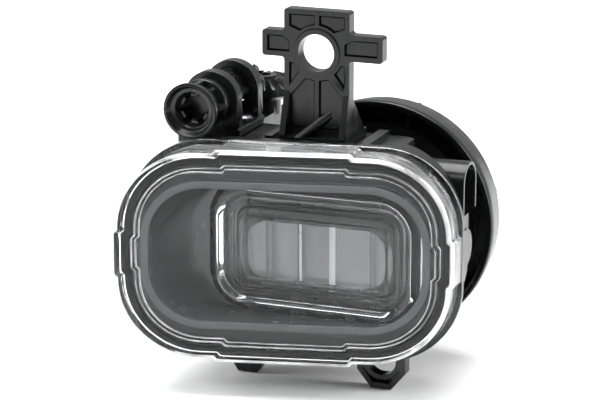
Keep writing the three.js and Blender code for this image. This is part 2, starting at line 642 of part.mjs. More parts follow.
function makeLowerBracket() {
  const seat = HOUSING_BOTTOM - GAP;
  const left = prism(lugPlate(LUG_LEFT_X, LUG_WIDTH - 1, 3.4, 6.6), -MOUNT_THICK, 0);
  const right = prism(lugPlate(LUG_RIGHT_X, LUG_WIDTH, 3.5, 6), -MOUNT_THICK, 0);
  const strap = box(
    [LUG_LEFT_X - LUG_WIDTH / 2 + 0.5, -MOUNT_THICK, seat - STRAP_THICK],
    [LUG_RIGHT_X - LUG_BORE / 2 - 1, 11, seat]);
  const leftPocket = prism(polygon([
    [LUG_LEFT_X - 5.4, -102], [LUG_LEFT_X - 5.4, -105], [LUG_LEFT_X - 2.2, -109.4],
    [LUG_LEFT_X + 2.2, -109.4], [LUG_LEFT_X + 5.4, -105], [LUG_LEFT_X + 5.4, -102]]),
  -FAR, POCKET_DEPTH - MOUNT_THICK);
  const rightBoss = moved(rod('y', LUG_BORE / 2 + 1.6, -MOUNT_THICK, 0, 32), LUG_RIGHT_X, 0, LUG_BORE_Z);
  const rightPocket = cut(prism(polygon([
    [LUG_RIGHT_X - 6.6, -105.6], [LUG_RIGHT_X - 2.9, -110.4], [LUG_RIGHT_X + 2.9, -110.4],
    [LUG_RIGHT_X + 6.6, -105.6]]), -FAR, POCKET_DEPTH - MOUNT_THICK), rightBoss);
  const gusset = new THREE.Shape([[-1, seat - 1], [9, seat - 1], [-1, -106]]
    .map(([y, z]) => new THREE.Vector2(y, z)));
  const gussets = [LUG_LEFT_X - 1.1, LUG_RIGHT_X - LUG_WIDTH / 2].map((x) => sideways(gusset, x, PLATE_RIM));
  const bore = moved(rod('y', LUG_BORE / 2, -FAR, FAR, 32), LUG_RIGHT_X, 0, LUG_BORE_Z);
  const holes = STRAP_SCREWS.map(([x, y]) => moved(rod('z', SCREW_HOLE + GAP, seat - 4, seat + 1, 10), x, y, 0));
  const body = cut(join(left, right, strap, ...gussets), leftPocket, rightPocket, bore, ...holes);
  return piece('lower_bracket', body, BLACK_PLASTIC);
}

// ---------------------------------------------------------------------------- rear end

const SHROUD_BACK = DRUM_BACK - 2;
const SHROUD_FLOOR = SHROUD_BACK - SHROUD_WALL;
const SEAT_RADIUS = DRUM_RADIUS + 6;

/** Three places round the drum where screws hold the shroud. */
const shroudScrewPlaces = () => [90, 210, 330].map((degrees) => {
  const angle = radians(degrees);
  const radius = DRUM_RADIUS + 3;
  return [DRUM_X + radius * Math.cos(angle), DRUM_Z + radius * Math.sin(angle)];
});

/** A collar round the drum for the shroud's floor to seat on. */
function shroudSeat() {
  return moved(tube('y', DRUM_RADIUS - 1, SEAT_RADIUS, SHROUD_FLOOR - 10, SHROUD_FLOOR - GAP, 36), DRUM_X, 0, DRUM_Z);
}

function makeRearShroud() {
  const outer = SHROUD_RADIUS;
  const inner = outer - SHROUD_WALL;
  const hole = DRUM_RADIUS + GAP;
  const fillet = Math.min(2.5, inner - SEAT_RADIUS - GAP);
  const cup = turned('y', [
    [hole, SHROUD_FLOOR], [inner - fillet, SHROUD_FLOOR], [inner - 0.4 * fillet, SHROUD_FLOOR - 0.6 * fillet],
    [inner - 0.4, SHROUD_RIM + 3], [inner - 0.4, SHROUD_RIM + 1.6], [outer - 1.3, SHROUD_RIM + 1.6],
    [outer - 1.1, SHROUD_RIM], [outer, SHROUD_RIM], [outer, SHROUD_RIM + 4], [outer - 0.9, SHROUD_RIM + 4.6],
    [outer - 1.4, SHROUD_BACK - 3], [outer - 4, SHROUD_BACK], [hole, SHROUD_BACK], [hole, SHROUD_FLOOR]], 40);
  const ribs = Array.from({ length: 6 }, (_, i) => spunY(
    box([-0.7, SHROUD_RIM + 5, SEAT_RADIUS + 0.4], [0.7, SHROUD_FLOOR + 1, inner + 0.5]), i * 60 + 15));
  const holes = shroudScrewPlaces().map(([x, z]) => moved(rod('y', SCREW_HOLE + GAP, 0, FAR, 10), x - DRUM_X, 0, z - DRUM_Z));
  return placed(DRUM_X, 0, DRUM_Z, piece('rear_shroud', cut(join(cup, ...ribs), ...holes), BLACK_PLASTIC));
}

const COVER_FRONT = DRUM_BACK + GAP;
const COVER_PLUG = DRUM_RADIUS - WALL - GAP;

function makeRearCover() {
  const outer = DRUM_RADIUS - 0.4;
  const cap = turned('y', [
    [0, COVER_FRONT - 5], [COVER_PLUG - 3.4, COVER_FRONT - 5], [COVER_PLUG - 3.4, COVER_FRONT - 3],
    [COVER_PLUG - 1.6, COVER_FRONT - 3], [COVER_PLUG - 1.6, COVER_FRONT], [outer, COVER_FRONT],
    [outer, COVER_FRONT + 2], [outer - 1.5, COVER_FRONT + 3.5], [0, COVER_FRONT + 3.5]], 30);
  const hollow = turned('y', [[0, 0], [COVER_PLUG - 5, 0], [COVER_PLUG - 5, COVER_FRONT], [0, COVER_FRONT]], 20);
  const grips = Array.from({ length: 12 }, (_, i) => spunY(
    box([-1.1, COVER_FRONT + 3, 14], [1.1, COVER_FRONT + 5.2, 23]), i * 30));
  const pinHoles = [-1, 1].map((side) => moved(rod('y', PIN_WIDTH, 0, FAR, 12), side * PIN_PITCH, 0, 0));
  return placed(DRUM_X, 0, DRUM_Z,
    piece('rear_cover', cut(join(cap, ...grips), hollow, ...pinHoles), BLACK_PLASTIC),
    piece('cover_seal', turned('y', ringProfile(COVER_PLUG - 0.75, COVER_FRONT - 1.5, 0.65), 30), RUBBER));
}

/** The round section of a sealing ring: middle radius, place along the axis, section radius. */
function ringProfile(radius, along, section) {
  return Array.from({ length: 7 }, (_, i) => {
    const angle = i / 6 * 2 * Math.PI;
    return [radius + section * Math.cos(angle), along + section * Math.sin(angle)];
  });
}

const PIN_PITCH = 2.6;           // half the distance between the two contact pins
const PIN_WIDTH = 1.1;
const SOCKET_DEEP = 17;

/** The plug socket on the rear cover: an oblong collar with two keys, and its two contact pins. */
function makeConnector() {
  const front = COVER_FRONT + 3.5 + GAP;
  const oblong = (grow) => roundRect(0, 0, 17 + 2 * grow, 14 + 2 * grow, 4 + grow);
  const collar = cut(prism(oblong(0), front, front + SOCKET_DEEP), prism(oblong(-1.5), front + 3, FAR));
  const latch = box([-2.5, front + 9, 6.5], [2.5, front + 13, 8.6]);
  const keys = [-4.5, 4.5].map((x) => box([x - 0.6, front + 2, 4.6], [x + 0.6, front + SOCKET_DEEP - 1, 6]));
  const pinHoles = [-1, 1].map((side) => moved(rod('y', PIN_WIDTH, front - 1, front + 4, 12), side * PIN_PITCH, 0, 0));
  const pins = [-1, 1].map((side, i) => piece(`contact_pin_${i + 1}`, box(
    [side * PIN_PITCH - 0.6, COVER_FRONT - 6, -0.4], [side * PIN_PITCH + 0.6, front + SOCKET_DEEP - 4, 0.4]), TINNED));
  const socket = piece('connector_socket', cut(join(collar, latch, ...keys), ...pinHoles), BLACK_PLASTIC);
  return placed(DRUM_X, 0, DRUM_Z, socket, ...pins);
}

// ---------------------------------------------------------------------------- vent

const VENT_Y = 11.7;
const VENT_Z = -46;
const VENT_STEM = 1.8;
const HOOD_Y = 15.6;
const HOOD_MOUTH = 46.6;

function makeVent() {
  const wallX = HOOD_NOTCH[0];
  const plug = moved(turned('x', [
    [0, wallX - 3], [VENT_STEM, wallX - 3], [VENT_STEM, wallX + GAP], [3.2, wallX + GAP],
    [3.2, wallX + 2.6], [2.4, wallX + 3.4], [0, wallX + 3.4]], 20), 0, VENT_Y, VENT_Z);
  const arch = (radius) => {
    const shape = new THREE.Shape();
    shape.moveTo(HOOD_Y - radius, -54);
    shape.lineTo(HOOD_Y + radius, -54);
    shape.absarc(HOOD_Y, -44, radius, 0, Math.PI);
    return shape;
  };
  const start = wallX + 5.5;
  const hood = cut(sideways(arch(7), start, HOOD_MOUTH - start), sideways(arch(5.6), start - 1, FAR));
  const drum = moved(rod('y', DRUM_RADIUS + GAP, 0, FAR, 48), DRUM_X, 0, DRUM_Z);
  return [piece('vent_plug', plug, RUBBER), piece('vent_hood', cut(hood, drum), BLACK_PLASTIC)];
}

// ---------------------------------------------------------------------------- aim adjuster

function makeCradle() {
  const seat = HOUSING_TOP + GAP;
  const ear = (radius) => {
    const shape = new THREE.Shape();
    shape.moveTo(SCREW_X - radius, seat);
    shape.lineTo(SCREW_X + radius, seat);
    shape.absarc(SCREW_X, SCREW_Z, radius, 0, Math.PI);
    return shape;
  };
  const base = box([CRADLE_LEFT, EAR_FRONT, seat], [CRADLE_RIGHT, EAR_REAR + EAR_THICK, seat + CRADLE_BASE]);
  const ears = [EAR_FRONT, EAR_REAR].map((y) => prism(ear(EAR_RADIUS), y, y + EAR_THICK, 16));
  const bores = [[EAR_FRONT, JOURNAL_RADIUS], [EAR_REAR, JOURNAL_RADIUS]].map(([y, radius]) => moved(
    rod('y', radius + GAP, y - 1, y + EAR_THICK + 1, 32), SCREW_X, 0, SCREW_Z));
  const recess = moved(rod('y', FIN_RADIUS + 0.7, EAR_REAR - 1, EAR_REAR + 1.2, 32), SCREW_X, 0, SCREW_Z);
  const holes = CRADLE_SCREWS.map(([x, y]) => moved(rod('z', SCREW_HOLE + GAP, seat - 1, seat + 4, 10), x, y, 0));
  return piece('adjuster_cradle', cut(join(base, ...ears), ...bores, recess, ...holes), BLACK_PLASTIC);
}

const APEX = CROWN_TEETH * GEAR_MODULE / 2;          // cone apex to the pinion's large end
const PINION_PITCH = PINION_TEETH * GEAR_MODULE / 2;
const PINION_FRONT = GEAR_Y - APEX;
const SHANK_RADIUS = 1.8;        // the pinion's shank, in the end of the adjuster screw
const SHANK_LONG = 9;
const SHAFT_END = PINION_FRONT - 1.2 - GAP;

/** Four thin fins round a shaft, between two places along it. */
function fins(radius, from, to) {
  return join(box([-radius, from, -0.8], [radius, to, 0.8]), box([-0.8, from, -radius], [0.8, to, radius]));
}

function makeAdjusterScrew() {
  const rearFace = EAR_REAR + EAR_THICK;
  const body = turned('y', [
    [0, TRUMPET_FRONT + 2], [TRUMPET_RADIUS - 2, TRUMPET_FRONT + 2], [TRUMPET_RADIUS - 1, TRUMPET_FRONT],
    [TRUMPET_RADIUS, TRUMPET_FRONT], [TRUMPET_RADIUS, TRUMPET_FRONT + 1.6], [7.3, TRUMPET_FRONT + 7],
    [5.6, TRUMPET_FRONT + 7.6], [5.6, -13.4], [8.25, -13.4], [8.25, -10.6], [7, -10.2],
    [7, EAR_FRONT - GAP], [JOURNAL_RADIUS, EAR_FRONT - GAP], [JOURNAL_RADIUS, EAR_FRONT + EAR_THICK + 0.5],
    [SHAFT_RADIUS, EAR_FRONT + EAR_THICK + 1], [SHAFT_RADIUS, EAR_REAR - 1],
    [JOURNAL_RADIUS, EAR_REAR + 1.5], [JOURNAL_RADIUS, rearFace + 0.5], [SHAFT_RADIUS, rearFace + 1],
    [SHAFT_RADIUS, SHAFT_END], [0, SHAFT_END]], 28);
  const shankBore = rod('y', SHANK_RADIUS + GAP, PINION_FRONT - SHANK_LONG - GAP, FAR, 20);
  const finned = join(
    fins(8, TRUMPET_FRONT + 6, -13), fins(FIN_RADIUS, EAR_FRONT + EAR_THICK + GAP + 0.3, EAR_REAR - GAP));
  const bore = rod('y', 4.6, TRUMPET_FRONT - 1, TRUMPET_FRONT + 11, 24);
  const lobes = Array.from({ length: 6 }, (_, i) => spunY(
    moved(rod('y', 1.2, TRUMPET_FRONT - 1, TRUMPET_FRONT + 11, 8), 4.5, 0, 0), i * 60));
  const dish = turned('y', [[0, TRUMPET_FRONT - 1], [7.4, TRUMPET_FRONT - 1], [4.9, TRUMPET_FRONT + 4.4],
    [0, TRUMPET_FRONT + 4.4]], 32);
  const socket = join(bore.subtract(tube('y', 4, 6, TRUMPET_FRONT + 4.4, FAR, 24)), ...lobes, dish);
  return piece('adjuster_screw', cut(join(body, finned), socket, shankBore), BLACK_PLASTIC);
}

/** A ridge towards the cones' common apex, at the origin: its section is given at the pitch end. */
function taperedRidge(section, far, near) {
  const ends = [far, near].map((distance) => section.map(([across, up]) => [
    across * distance / APEX, -distance, up * distance / APEX]));
  const count = section.length;
  const index = [];
  for (let i = 0; i < count; i += 1) {
    const j = (i + 1) % count;
    index.push(i, count + j, j, i, count + i, count + j);
  }
  for (let i = 1; i < count - 1; i += 1) index.push(0, i, i + 1, count, count + i + 1, count + i);
  return meshSolid(ends.flat(2), index);
}

function makePinion() {
  const [root, tip] = [PINION_PITCH - 0.9 * GEAR_MODULE, PINION_PITCH + 0.8 * GEAR_MODULE];
  const [wide, narrow] = [1.25, 0.42];
  const near = APEX - GEAR_FACE;
  const ridge = taperedRidge([[-wide / 2 - 0.2, -root + 0.6], [-narrow / 2, -tip], [narrow / 2, -tip],
    [wide / 2 + 0.2, -root + 0.6]], APEX, near);
  const teeth = Array.from({ length: PINION_TEETH }, (_, i) => spunY(ridge, i * 360 / PINION_TEETH));
  const core = turned('y', [[0, -APEX - SHANK_LONG], [SHANK_RADIUS, -APEX - SHANK_LONG], [SHANK_RADIUS, -APEX - 1.2],
    [root + 0.3, -APEX - 1.2], [root + 0.1, -APEX], [root * near / APEX, -near], [0, -near]], 20);
  return piece('drive_pinion', join(core, ...teeth), BLACK_PLASTIC);
}

function makeAdjuster() {
  const clip = tube('y', SHAFT_RADIUS + GAP, 5.4, EAR_REAR + EAR_THICK + 1.4, EAR_REAR + EAR_THICK + 2.4, 28);
  const opening = box([-1.6, 0, -FAR], [1.6, FAR, 0]);
  return placed(SCREW_X, 0, SCREW_Z,
    makeAdjusterScrew(),
    placed(0, GEAR_Y, 0, makePinion()),
    piece('adjuster_clip', cut(clip, opening), STEEL));
}

// ---------------------------------------------------------------------------- crown gear and nut

const SEAL_RING = 3.6;
const SEAL_SEAT = TOWER_TOP - 2.4;
const CROWN_BOTTOM = TOWER_TOP + 0.9;

/** The crown gear, with the cones' apex at the origin and its teeth on top. */
function makeCrown() {
  const slope = PINION_TEETH / CROWN_TEETH;
  const tip = (radius) => -radius * slope + 0.75 * GEAR_MODULE * radius / APEX;
  const bottom = CROWN_BOTTOM - SCREW_Z;
  const [outer, inner] = [APEX + 0.4, APEX - GEAR_FACE];
  const blank = turned('z', [
    [0, bottom], [8, bottom], [outer, bottom + 1.6], [outer, tip(outer)], [inner, tip(inner)],
    [inner - 0.6, tip(inner) - 0.9], [4.2, tip(inner) - 0.9], [4.2, tip(inner) - 0.1], [0, tip(inner) - 0.1]], 36);
  const gap = [[-2.6, 2.4], [-0.55, -1.5], [0.55, -1.5], [2.6, 2.4]].map(([across, up]) => [across, up - PINION_PITCH]);
  const groove = taperedRidge(gap, outer + 1, inner - 1);
  const gashes = Array.from({ length: CROWN_TEETH }, (_, i) => spunZ(groove, i * 360 / CROWN_TEETH));
  const bore = rod('z', SPINDLE_RADIUS + GAP, -FAR, FAR, 20);
  return piece('crown_gear', cut(blank, ...gashes, bore), BLACK_PLASTIC);
}

const NUT_HALF = 3;
const SPINDLE_BOTTOM = TUNNEL_BOTTOM + WALL + 0.4;

function makeSpindle() {
  const head = CROWN_BOTTOM - GAP;
  const crest = SPINDLE_RADIUS;
  return turned('z', [[0, SPINDLE_BOTTOM], [crest, SPINDLE_BOTTOM], [crest, head - 0.9], [3.2, head - 0.9],
    [3.2, head], [crest, head], [crest, SCREW_Z - 3.2], [0, SCREW_Z - 3.2]], 24);
}

function makeLift() {
  const seal = turned('z', ringProfile(SPINDLE_RADIUS + GAP + 0.6, SEAL_SEAT + 0.9, 0.55), 24);
  const block = box([-2.8, -NUT_HALF, NUT_Z - NUT_HALF], [2.8, NUT_HALF, NUT_Z + NUT_HALF]);
  const stud = moved(rod('x', NUT_STUD, -6.2, -1, 16), 0, 0, NUT_Z);
  const thread = rod('z', SPINDLE_RADIUS + GAP, -FAR, FAR, 24);
  return placed(SCREW_X, GEAR_Y, 0,
    placed(0, 0, SCREW_Z, makeCrown()),
    piece('adjuster_spindle', makeSpindle(), STEEL),
    piece('spindle_seal', seal, RUBBER),
    piece('adjuster_nut', cut(join(block, stud), thread), BLACK_PLASTIC));
}

// ---------------------------------------------------------------------------- LED module

const NUT_STUD = 1.5;
const ARM_THICK = 3.2;
const ARM_LEFT_X = -40.2;        // outer face of the holder's left arm
const ARM_RIGHT_X = 42.4;
const LEVER_THICK = 2;
const HOLDER_BACK = 2;
const BOARD_FRONT = HOLDER_BACK + GAP;
const BOARD_THICK = 1.6;
const SINK_FRONT = BOARD_FRONT + BOARD_THICK + 2 * GAP + 0.5;
const SINK_HALF = 14;
const SINK_X = 6;
const SINK_BACK = 30;

function makeOptic() {
  const outline = (inset) => roundRect(
    OPTIC_X, OPTIC_Z, OPTIC_WIDTH - 2 * inset, OPTIC_HEIGHT - 2 * inset, OPTIC_CORNER - inset);
  const block = bevelled(outline(0), OPTIC_FRONT, OPTIC_FRONT + OPTIC_DEPTH, 1.6, 6);
  const window = roundRect(OPTIC_X, OPTIC_Z, WINDOW_WIDTH, WINDOW_HEIGHT, 8);
  const hollow = prism(outline(4), OPTIC_FRONT + 3.5, FAR, 6);
  const collimator = join(
    bevelled(window, OPTIC_FRONT + 3.8, OPTIC_FRONT + 8, 0.6, 4),
    prism(roundRect(OPTIC_X, OPTIC_Z, WINDOW_WIDTH - 10, WINDOW_HEIGHT - 6, 5), OPTIC_FRONT + 7, HOLDER_BACK - 1.2, 4));
  return [piece('optic_lens', cut(block, hollow), OPTIC_CLEAR), piece('collimator', collimator, OPTIC_CLEAR)];
}

/** The black frame behind the optic, with an arm at each side for the pivots. */
function makeHolder() {
  const front = OPTIC_FRONT + OPTIC_DEPTH + GAP;
  const plate = cut(
    prism(roundRect(OPTIC_X, OPTIC_Z, OPTIC_WIDTH, OPTIC_HEIGHT, OPTIC_CORNER), front, HOLDER_BACK, 6),
    prism(roundRect(OPTIC_X, OPTIC_Z, WINDOW_WIDTH - 6, WINDOW_HEIGHT - 2, 5), -FAR, FAR, 4));
  const arm = roundRect(TILT_Y - 2.5, TILT_Z, 15, 11, 4);
  const leftX = ARM_LEFT_X;
  const arms = [leftX, ARM_RIGHT_X - ARM_THICK].map((x) => sideways(arm, x, ARM_THICK));
  const bridges = [
    box([leftX + 1, -4.5, TILT_Z - 4.5], [OPTIC_X - OPTIC_WIDTH / 2 + 1, HOLDER_BACK, TILT_Z + 4.5]),
    box([OPTIC_X + OPTIC_WIDTH / 2 - 1, -4.5, TILT_Z - 4.5], [ARM_RIGHT_X - 1, HOLDER_BACK, TILT_Z + 4.5])];
  const bore = moved(rod('x', PIN_RADIUS + 1.3 + 2 * GAP, -FAR, FAR, 24), 0, TILT_Y, TILT_Z);
  const screws = boardScrewPlaces().map(([x, z]) => moved(rod('y', SCREW_HOLE + GAP, HOLDER_BACK - 5, FAR, 10), x, 0, z));
  return piece('optic_holder', cut(join(plate, ...arms, ...bridges), bore, ...screws), BLACK_PLASTIC);
}

const boardScrewPlaces = () => [-1, 1].map((side) => [SINK_X + side * (SINK_HALF + 5), OPTIC_Z - 15]);

function makeTiltLever() {
  const reach = GEAR_Y + 4.8;
  const outline = new THREE.Shape([
    [TILT_Y - 5, TILT_Z - 5], [TILT_Y + 5, TILT_Z - 5], [TILT_Y + 5, NUT_Z - 2.8], [reach, NUT_Z - 2.8],
    [reach, LEVER_TOP], [TILT_Y - 5, LEVER_TOP]].map(([y, z]) => new THREE.Vector2(y, z)));
  const x = ARM_LEFT_X - GAP - LEVER_THICK;
  const slot = sideways(roundRect(GEAR_Y, NUT_Z, 2 * NUT_STUD + 3.4, 2 * NUT_STUD + 0.5, NUT_STUD + 0.2), x - 1, LEVER_THICK + 2);
  const bore = moved(rod('x', PIN_RADIUS + GAP, -FAR, 0, 20), 0, TILT_Y, TILT_Z);
  return piece('tilt_lever', cut(sideways(outline, x, LEVER_THICK), slot, bore), BLACK_PLASTIC);
}

function makePivots() {
  const bush = (x) => tube('x', PIN_RADIUS + GAP, PIN_RADIUS + GAP + 1, x, x + ARM_THICK, 24);
  const pin = (from, to) => rod('x', PIN_RADIUS, from, to, 20);
  return placed(0, TILT_Y, TILT_Z,
    piece('pivot_bush_left', bush(ARM_LEFT_X), TINNED),
    piece('pivot_bush_right', bush(ARM_RIGHT_X - ARM_THICK), TINNED),
    piece('pivot_pin_left', pin(HOUSING_LEFT - BOSS_PROUD + 1.6, ARM_LEFT_X + ARM_THICK + 0.4), STEEL),
    piece('pivot_pin_right', pin(ARM_RIGHT_X - ARM_THICK - 0.4, HOUSING_RIGHT + BOSS_PROUD - 1.6), STEEL));
}

function makeLightSource() {
  const screws = boardScrewPlaces();
  const board = cut(
    prism(roundRect(SINK_X, OPTIC_Z - 3, 2 * SINK_HALF + 18, 36, 3), BOARD_FRONT, BOARD_FRONT + BOARD_THICK),
    ...screws.map(([x, z]) => moved(rod('y', SCREW_HOLE + GAP, 0, 12, 10), x, 0, z)));
  const chips = [-12, 0, 12].map((x, i) => piece(`led_chip_${i + 1}`, box(
    [OPTIC_X + x - 1.8, BOARD_FRONT - GAP - 1, OPTIC_Z - 1.8],
    [OPTIC_X + x + 1.8, BOARD_FRONT - GAP, OPTIC_Z + 1.8]), LED_YELLOW));
  const padFront = BOARD_FRONT + BOARD_THICK + GAP;
  const pad = box([SINK_X - SINK_HALF, padFront, OPTIC_Z - 13], [SINK_X + SINK_HALF, padFront + 0.5, OPTIC_Z + 13]);
  const base = box([SINK_X - SINK_HALF, SINK_FRONT, OPTIC_Z - SINK_HALF], [SINK_X + SINK_HALF, SINK_FRONT + 3, OPTIC_Z + SINK_HALF]);
  const blades = Array.from({ length: 7 }, (_, i) => {
    const x = SINK_X - SINK_HALF + i * (2 * SINK_HALF - 1.6) / 6;
    return box([x, SINK_FRONT + 2, OPTIC_Z - SINK_HALF], [x + 1.6, SINK_BACK, OPTIC_Z + SINK_HALF]);
  });
  return [piece('led_board', board, BOARD_WHITE), ...chips, piece('thermal_pad', pad, PAD_GREY),
    piece('heat_sink', join(base, ...blades), ALUMINIUM)];
}

// ---------------------------------------------------------------------------- the whole lamp

function makeScrews() {
  const bracketTop = HOUSING_TOP + GAP + BRACKET_FOOT + GAP;
  const cradleTop = HOUSING_TOP + GAP + CRADLE_BASE + GAP;
  const strapUnder = HOUSING_BOTTOM - GAP - STRAP_THICK - GAP;
  const sides = ['left', 'right'];
  return [
    ...BRACKET_SCREWS.map(([x, y], i) => makeScrew(`bracket_screw_${sides[i]}`, [x, y, bracketTop], 0)),
    ...CRADLE_SCREWS.map(([x, y], i) => makeScrew(`cradle_screw_${sides[i]}`, [x, y, cradleTop], 0)),
    ...STRAP_SCREWS.map(([x, y], i) => makeScrew(`lug_screw_${sides[i]}`, [x, y, strapUnder], Math.PI)),
    ...shroudScrewPlaces().map(([x, z], i) => makeScrew(
      `shroud_screw_${i + 1}`, [x, SHROUD_BACK + GAP, z], -Math.PI / 2)),
    ...boardScrewPlaces().map(([x, z], i) => makeScrew(
      `board_screw_${i + 1}`, [x, BOARD_FRONT + BOARD_THICK + GAP, z], -Math.PI / 2, 5)),
  ];
}

const lamp = new THREE.Group();
lamp.name = 'fog_light';
lamp.add(
  makeHousing(), makeLens(), makeLensSeal(), makeBezel(), makeTopBracket(), makeLowerBracket(),
  makeRearShroud(), makeRearCover(), makeConnector(), ...makeVent(),
  makeCradle(), makeAdjuster(), makeLift(),
  ...makeOptic(), makeHolder(), makeTiltLever(), makePivots(), ...makeLightSource(), ...makeScrews());

export default lamp;
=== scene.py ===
"""Looks of a motor-car fog light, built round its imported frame.

Sizes in this file are millimetres, and each piece's points are turned to metres as they are set.
+Z is up and -Y is the way the lamp shines. The origin is the centre of the upper mounting eye.
"""

import json
import logging
import math
from collections.abc import Callable, Iterator, Sequence
from contextlib import contextmanager
from dataclasses import dataclass
from enum import Enum

import bmesh
import bpy
from mathutils import Matrix, Vector


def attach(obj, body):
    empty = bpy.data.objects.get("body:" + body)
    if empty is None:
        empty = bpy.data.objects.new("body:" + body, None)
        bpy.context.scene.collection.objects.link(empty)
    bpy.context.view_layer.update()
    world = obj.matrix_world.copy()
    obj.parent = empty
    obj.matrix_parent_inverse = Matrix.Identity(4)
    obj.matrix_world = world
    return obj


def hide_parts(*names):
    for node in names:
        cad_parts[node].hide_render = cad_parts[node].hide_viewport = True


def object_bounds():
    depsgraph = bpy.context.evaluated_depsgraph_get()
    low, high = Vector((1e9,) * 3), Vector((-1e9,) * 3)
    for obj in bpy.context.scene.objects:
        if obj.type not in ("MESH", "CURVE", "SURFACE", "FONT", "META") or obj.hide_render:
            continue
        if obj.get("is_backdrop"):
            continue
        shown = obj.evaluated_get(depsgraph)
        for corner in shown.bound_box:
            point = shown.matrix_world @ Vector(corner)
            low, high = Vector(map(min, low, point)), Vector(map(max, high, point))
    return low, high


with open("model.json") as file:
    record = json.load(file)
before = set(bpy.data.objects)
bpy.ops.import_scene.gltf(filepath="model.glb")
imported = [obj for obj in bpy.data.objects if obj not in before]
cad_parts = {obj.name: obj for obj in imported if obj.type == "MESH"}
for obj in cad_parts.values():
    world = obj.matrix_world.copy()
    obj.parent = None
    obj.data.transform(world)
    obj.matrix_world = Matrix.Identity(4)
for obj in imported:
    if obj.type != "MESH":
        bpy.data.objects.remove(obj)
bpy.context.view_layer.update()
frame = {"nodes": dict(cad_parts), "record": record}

MM = 0.001
NOISE_SPAN = (0.3, 0.7)
SCREW_HOLE = 1.55
EDGE_WIDTHS = {"housing": 0.3, "lower_bracket": 0.35, "rear_cover": 0.25, "connector_socket": 0.2,
               "crown_gear": 0.12, "drive_pinion": 0.12}
LOG = logging.getLogger("fog_light")
Colour = tuple[float, float, float]
Flat = tuple[float, float]
Ring = list[Vector]
Piece = bpy.types.Object


class Body(Enum):
    """The bodies that pieces ride on."""

    LAMP = "lamp_body"
    ADJUSTER = "adjuster"
    LIFT_GEAR = "lift_gear"
    LIFT_NUT = "lift_nut"
    MODULE = "led_module"


class Slot(Enum):
    """The record's material slots."""

    BLACK = "black_plastic"
    GREY = "bezel_grey"
    LENS = "lens_clear"
    OPTIC = "optic_clear"
    RUBBER = "seal_rubber"
    STEEL = "zinc_steel"
    TINNED = "tinned_metal"
    ALUMINIUM = "heat_sink_metal"
    BOARD = "board_white"
    LED = "led_yellow"
    PAD = "pad_grey"


class Axis(Enum):
    """The axis that a turned piece is turned about."""

    X = 0
    Y = 1
    Z = 2


# ---------------------------------------------------------------------------- finishes


class Recipe:
    """A material's node tree, built a node at a time."""

    def __init__(self, name: str) -> None:
        """Starts an empty tree.

        Args:
            name: The material's name.
        """
        self.material = bpy.data.materials.new(name)
        self.material.use_nodes = True
        self.tree = self.material.node_tree
        self.tree.nodes.clear()
        self.place = self.add("ShaderNodeTexCoord").outputs["Object"]
        self.shader = self.add("ShaderNodeBsdfPrincipled")
        self.output = self.add("ShaderNodeOutputMaterial")
        self.join(self.shader.outputs[0], self.output.inputs["Surface"])

    def add(self, kind: str, **inputs: object) -> bpy.types.Node:
        """Adds a node and sets its unlinked inputs.

        Args:
            kind: The node's type name.
            inputs: Input values by name, with an underscore for each space.

        Returns:
            The node.
        """
        node = self.tree.nodes.new(kind)
        for name, value in inputs.items():
            node.inputs[name.replace("_", " ")].default_value = value
        return node

    def join(self, source: bpy.types.NodeSocket, target: bpy.types.NodeSocket) -> None:
        """Links one socket to another."""
        self.tree.links.new(source, target)

    def set(self, **values: object) -> None:
        """Sets sockets of the shader, with an underscore for each space."""
        for name, value in values.items():
            self.shader.inputs[name.replace("_", " ")].default_value = value

    def noise(self, scale: float, detail: float = 3.0,
              stretch: Sequence[float] = (1, 1, 1)) -> bpy.types.Node:
        """A noise over the piece's own place.

        Args:
            scale: Waves to the metre.
            detail: Octaves.
            stretch: Scale along each axis, to draw the noise out.

        Returns:
            The noise node.
        """
        mapping = self.add("ShaderNodeMapping", Scale=tuple(stretch))
        self.join(self.place, mapping.inputs["Vector"])
        noise = self.add("ShaderNodeTexNoise", Scale=scale, Detail=detail)
        self.join(mapping.outputs[0], noise.inputs["Vector"])
        return noise

    def shade(self, source: bpy.types.NodeSocket, dark: Colour, light: Colour) -> None:
        """Runs the base colour from dark to light over a pattern.

        Args:
            source: The pattern's value.
            dark: Colour at the low end.
            light: Colour at the high end.
        """
        ramp = self.add("ShaderNodeValToRGB")
        for stop, place, colour in zip(ramp.color_ramp.elements, NOISE_SPAN, (dark, light)):
            stop.position = place
            stop.color = (*colour, 1)
        self.join(source, ramp.inputs[0])
        self.join(ramp.outputs[0], self.shader.inputs["Base Color"])

    def span(self, source: bpy.types.NodeSocket, low: float, high: float, socket: str) -> None:
        """Runs one of the shader's sockets from low to high over a pattern."""
        scale = self.add("ShaderNodeMapRange", From_Min=NOISE_SPAN[0], From_Max=NOISE_SPAN[1],
                         To_Min=low, To_Max=high)
        self.join(source, scale.inputs[0])
        self.join(scale.outputs[0], self.shader.inputs[socket])

    def bump(self, source: bpy.types.NodeSocket, depth: float) -> None:
        """Raises the surface by a pattern, to a depth in metres."""
        bump = self.add("ShaderNodeBump", Strength=1.0, Distance=depth)
        self.join(source, bump.inputs["Height"])
        self.join(bump.outputs[0], self.shader.inputs["Normal"])

    def let_lamps_through(self, tint: Colour) -> None:
        """Lets light from lamps pass straight through clear plastic, with a tint."""
        path = self.add("ShaderNodeLightPath")
        clear = self.add("ShaderNodeBsdfTransparent", Color=(*tint, 1))
        mix = self.add("ShaderNodeMixShader")
        self.join(path.outputs["Is Shadow Ray"], mix.inputs[0])
        self.join(self.shader.outputs[0], mix.inputs[1])
        self.join(clear.outputs[0], mix.inputs[2])
        self.join(mix.outputs[0], self.output.inputs["Surface"])


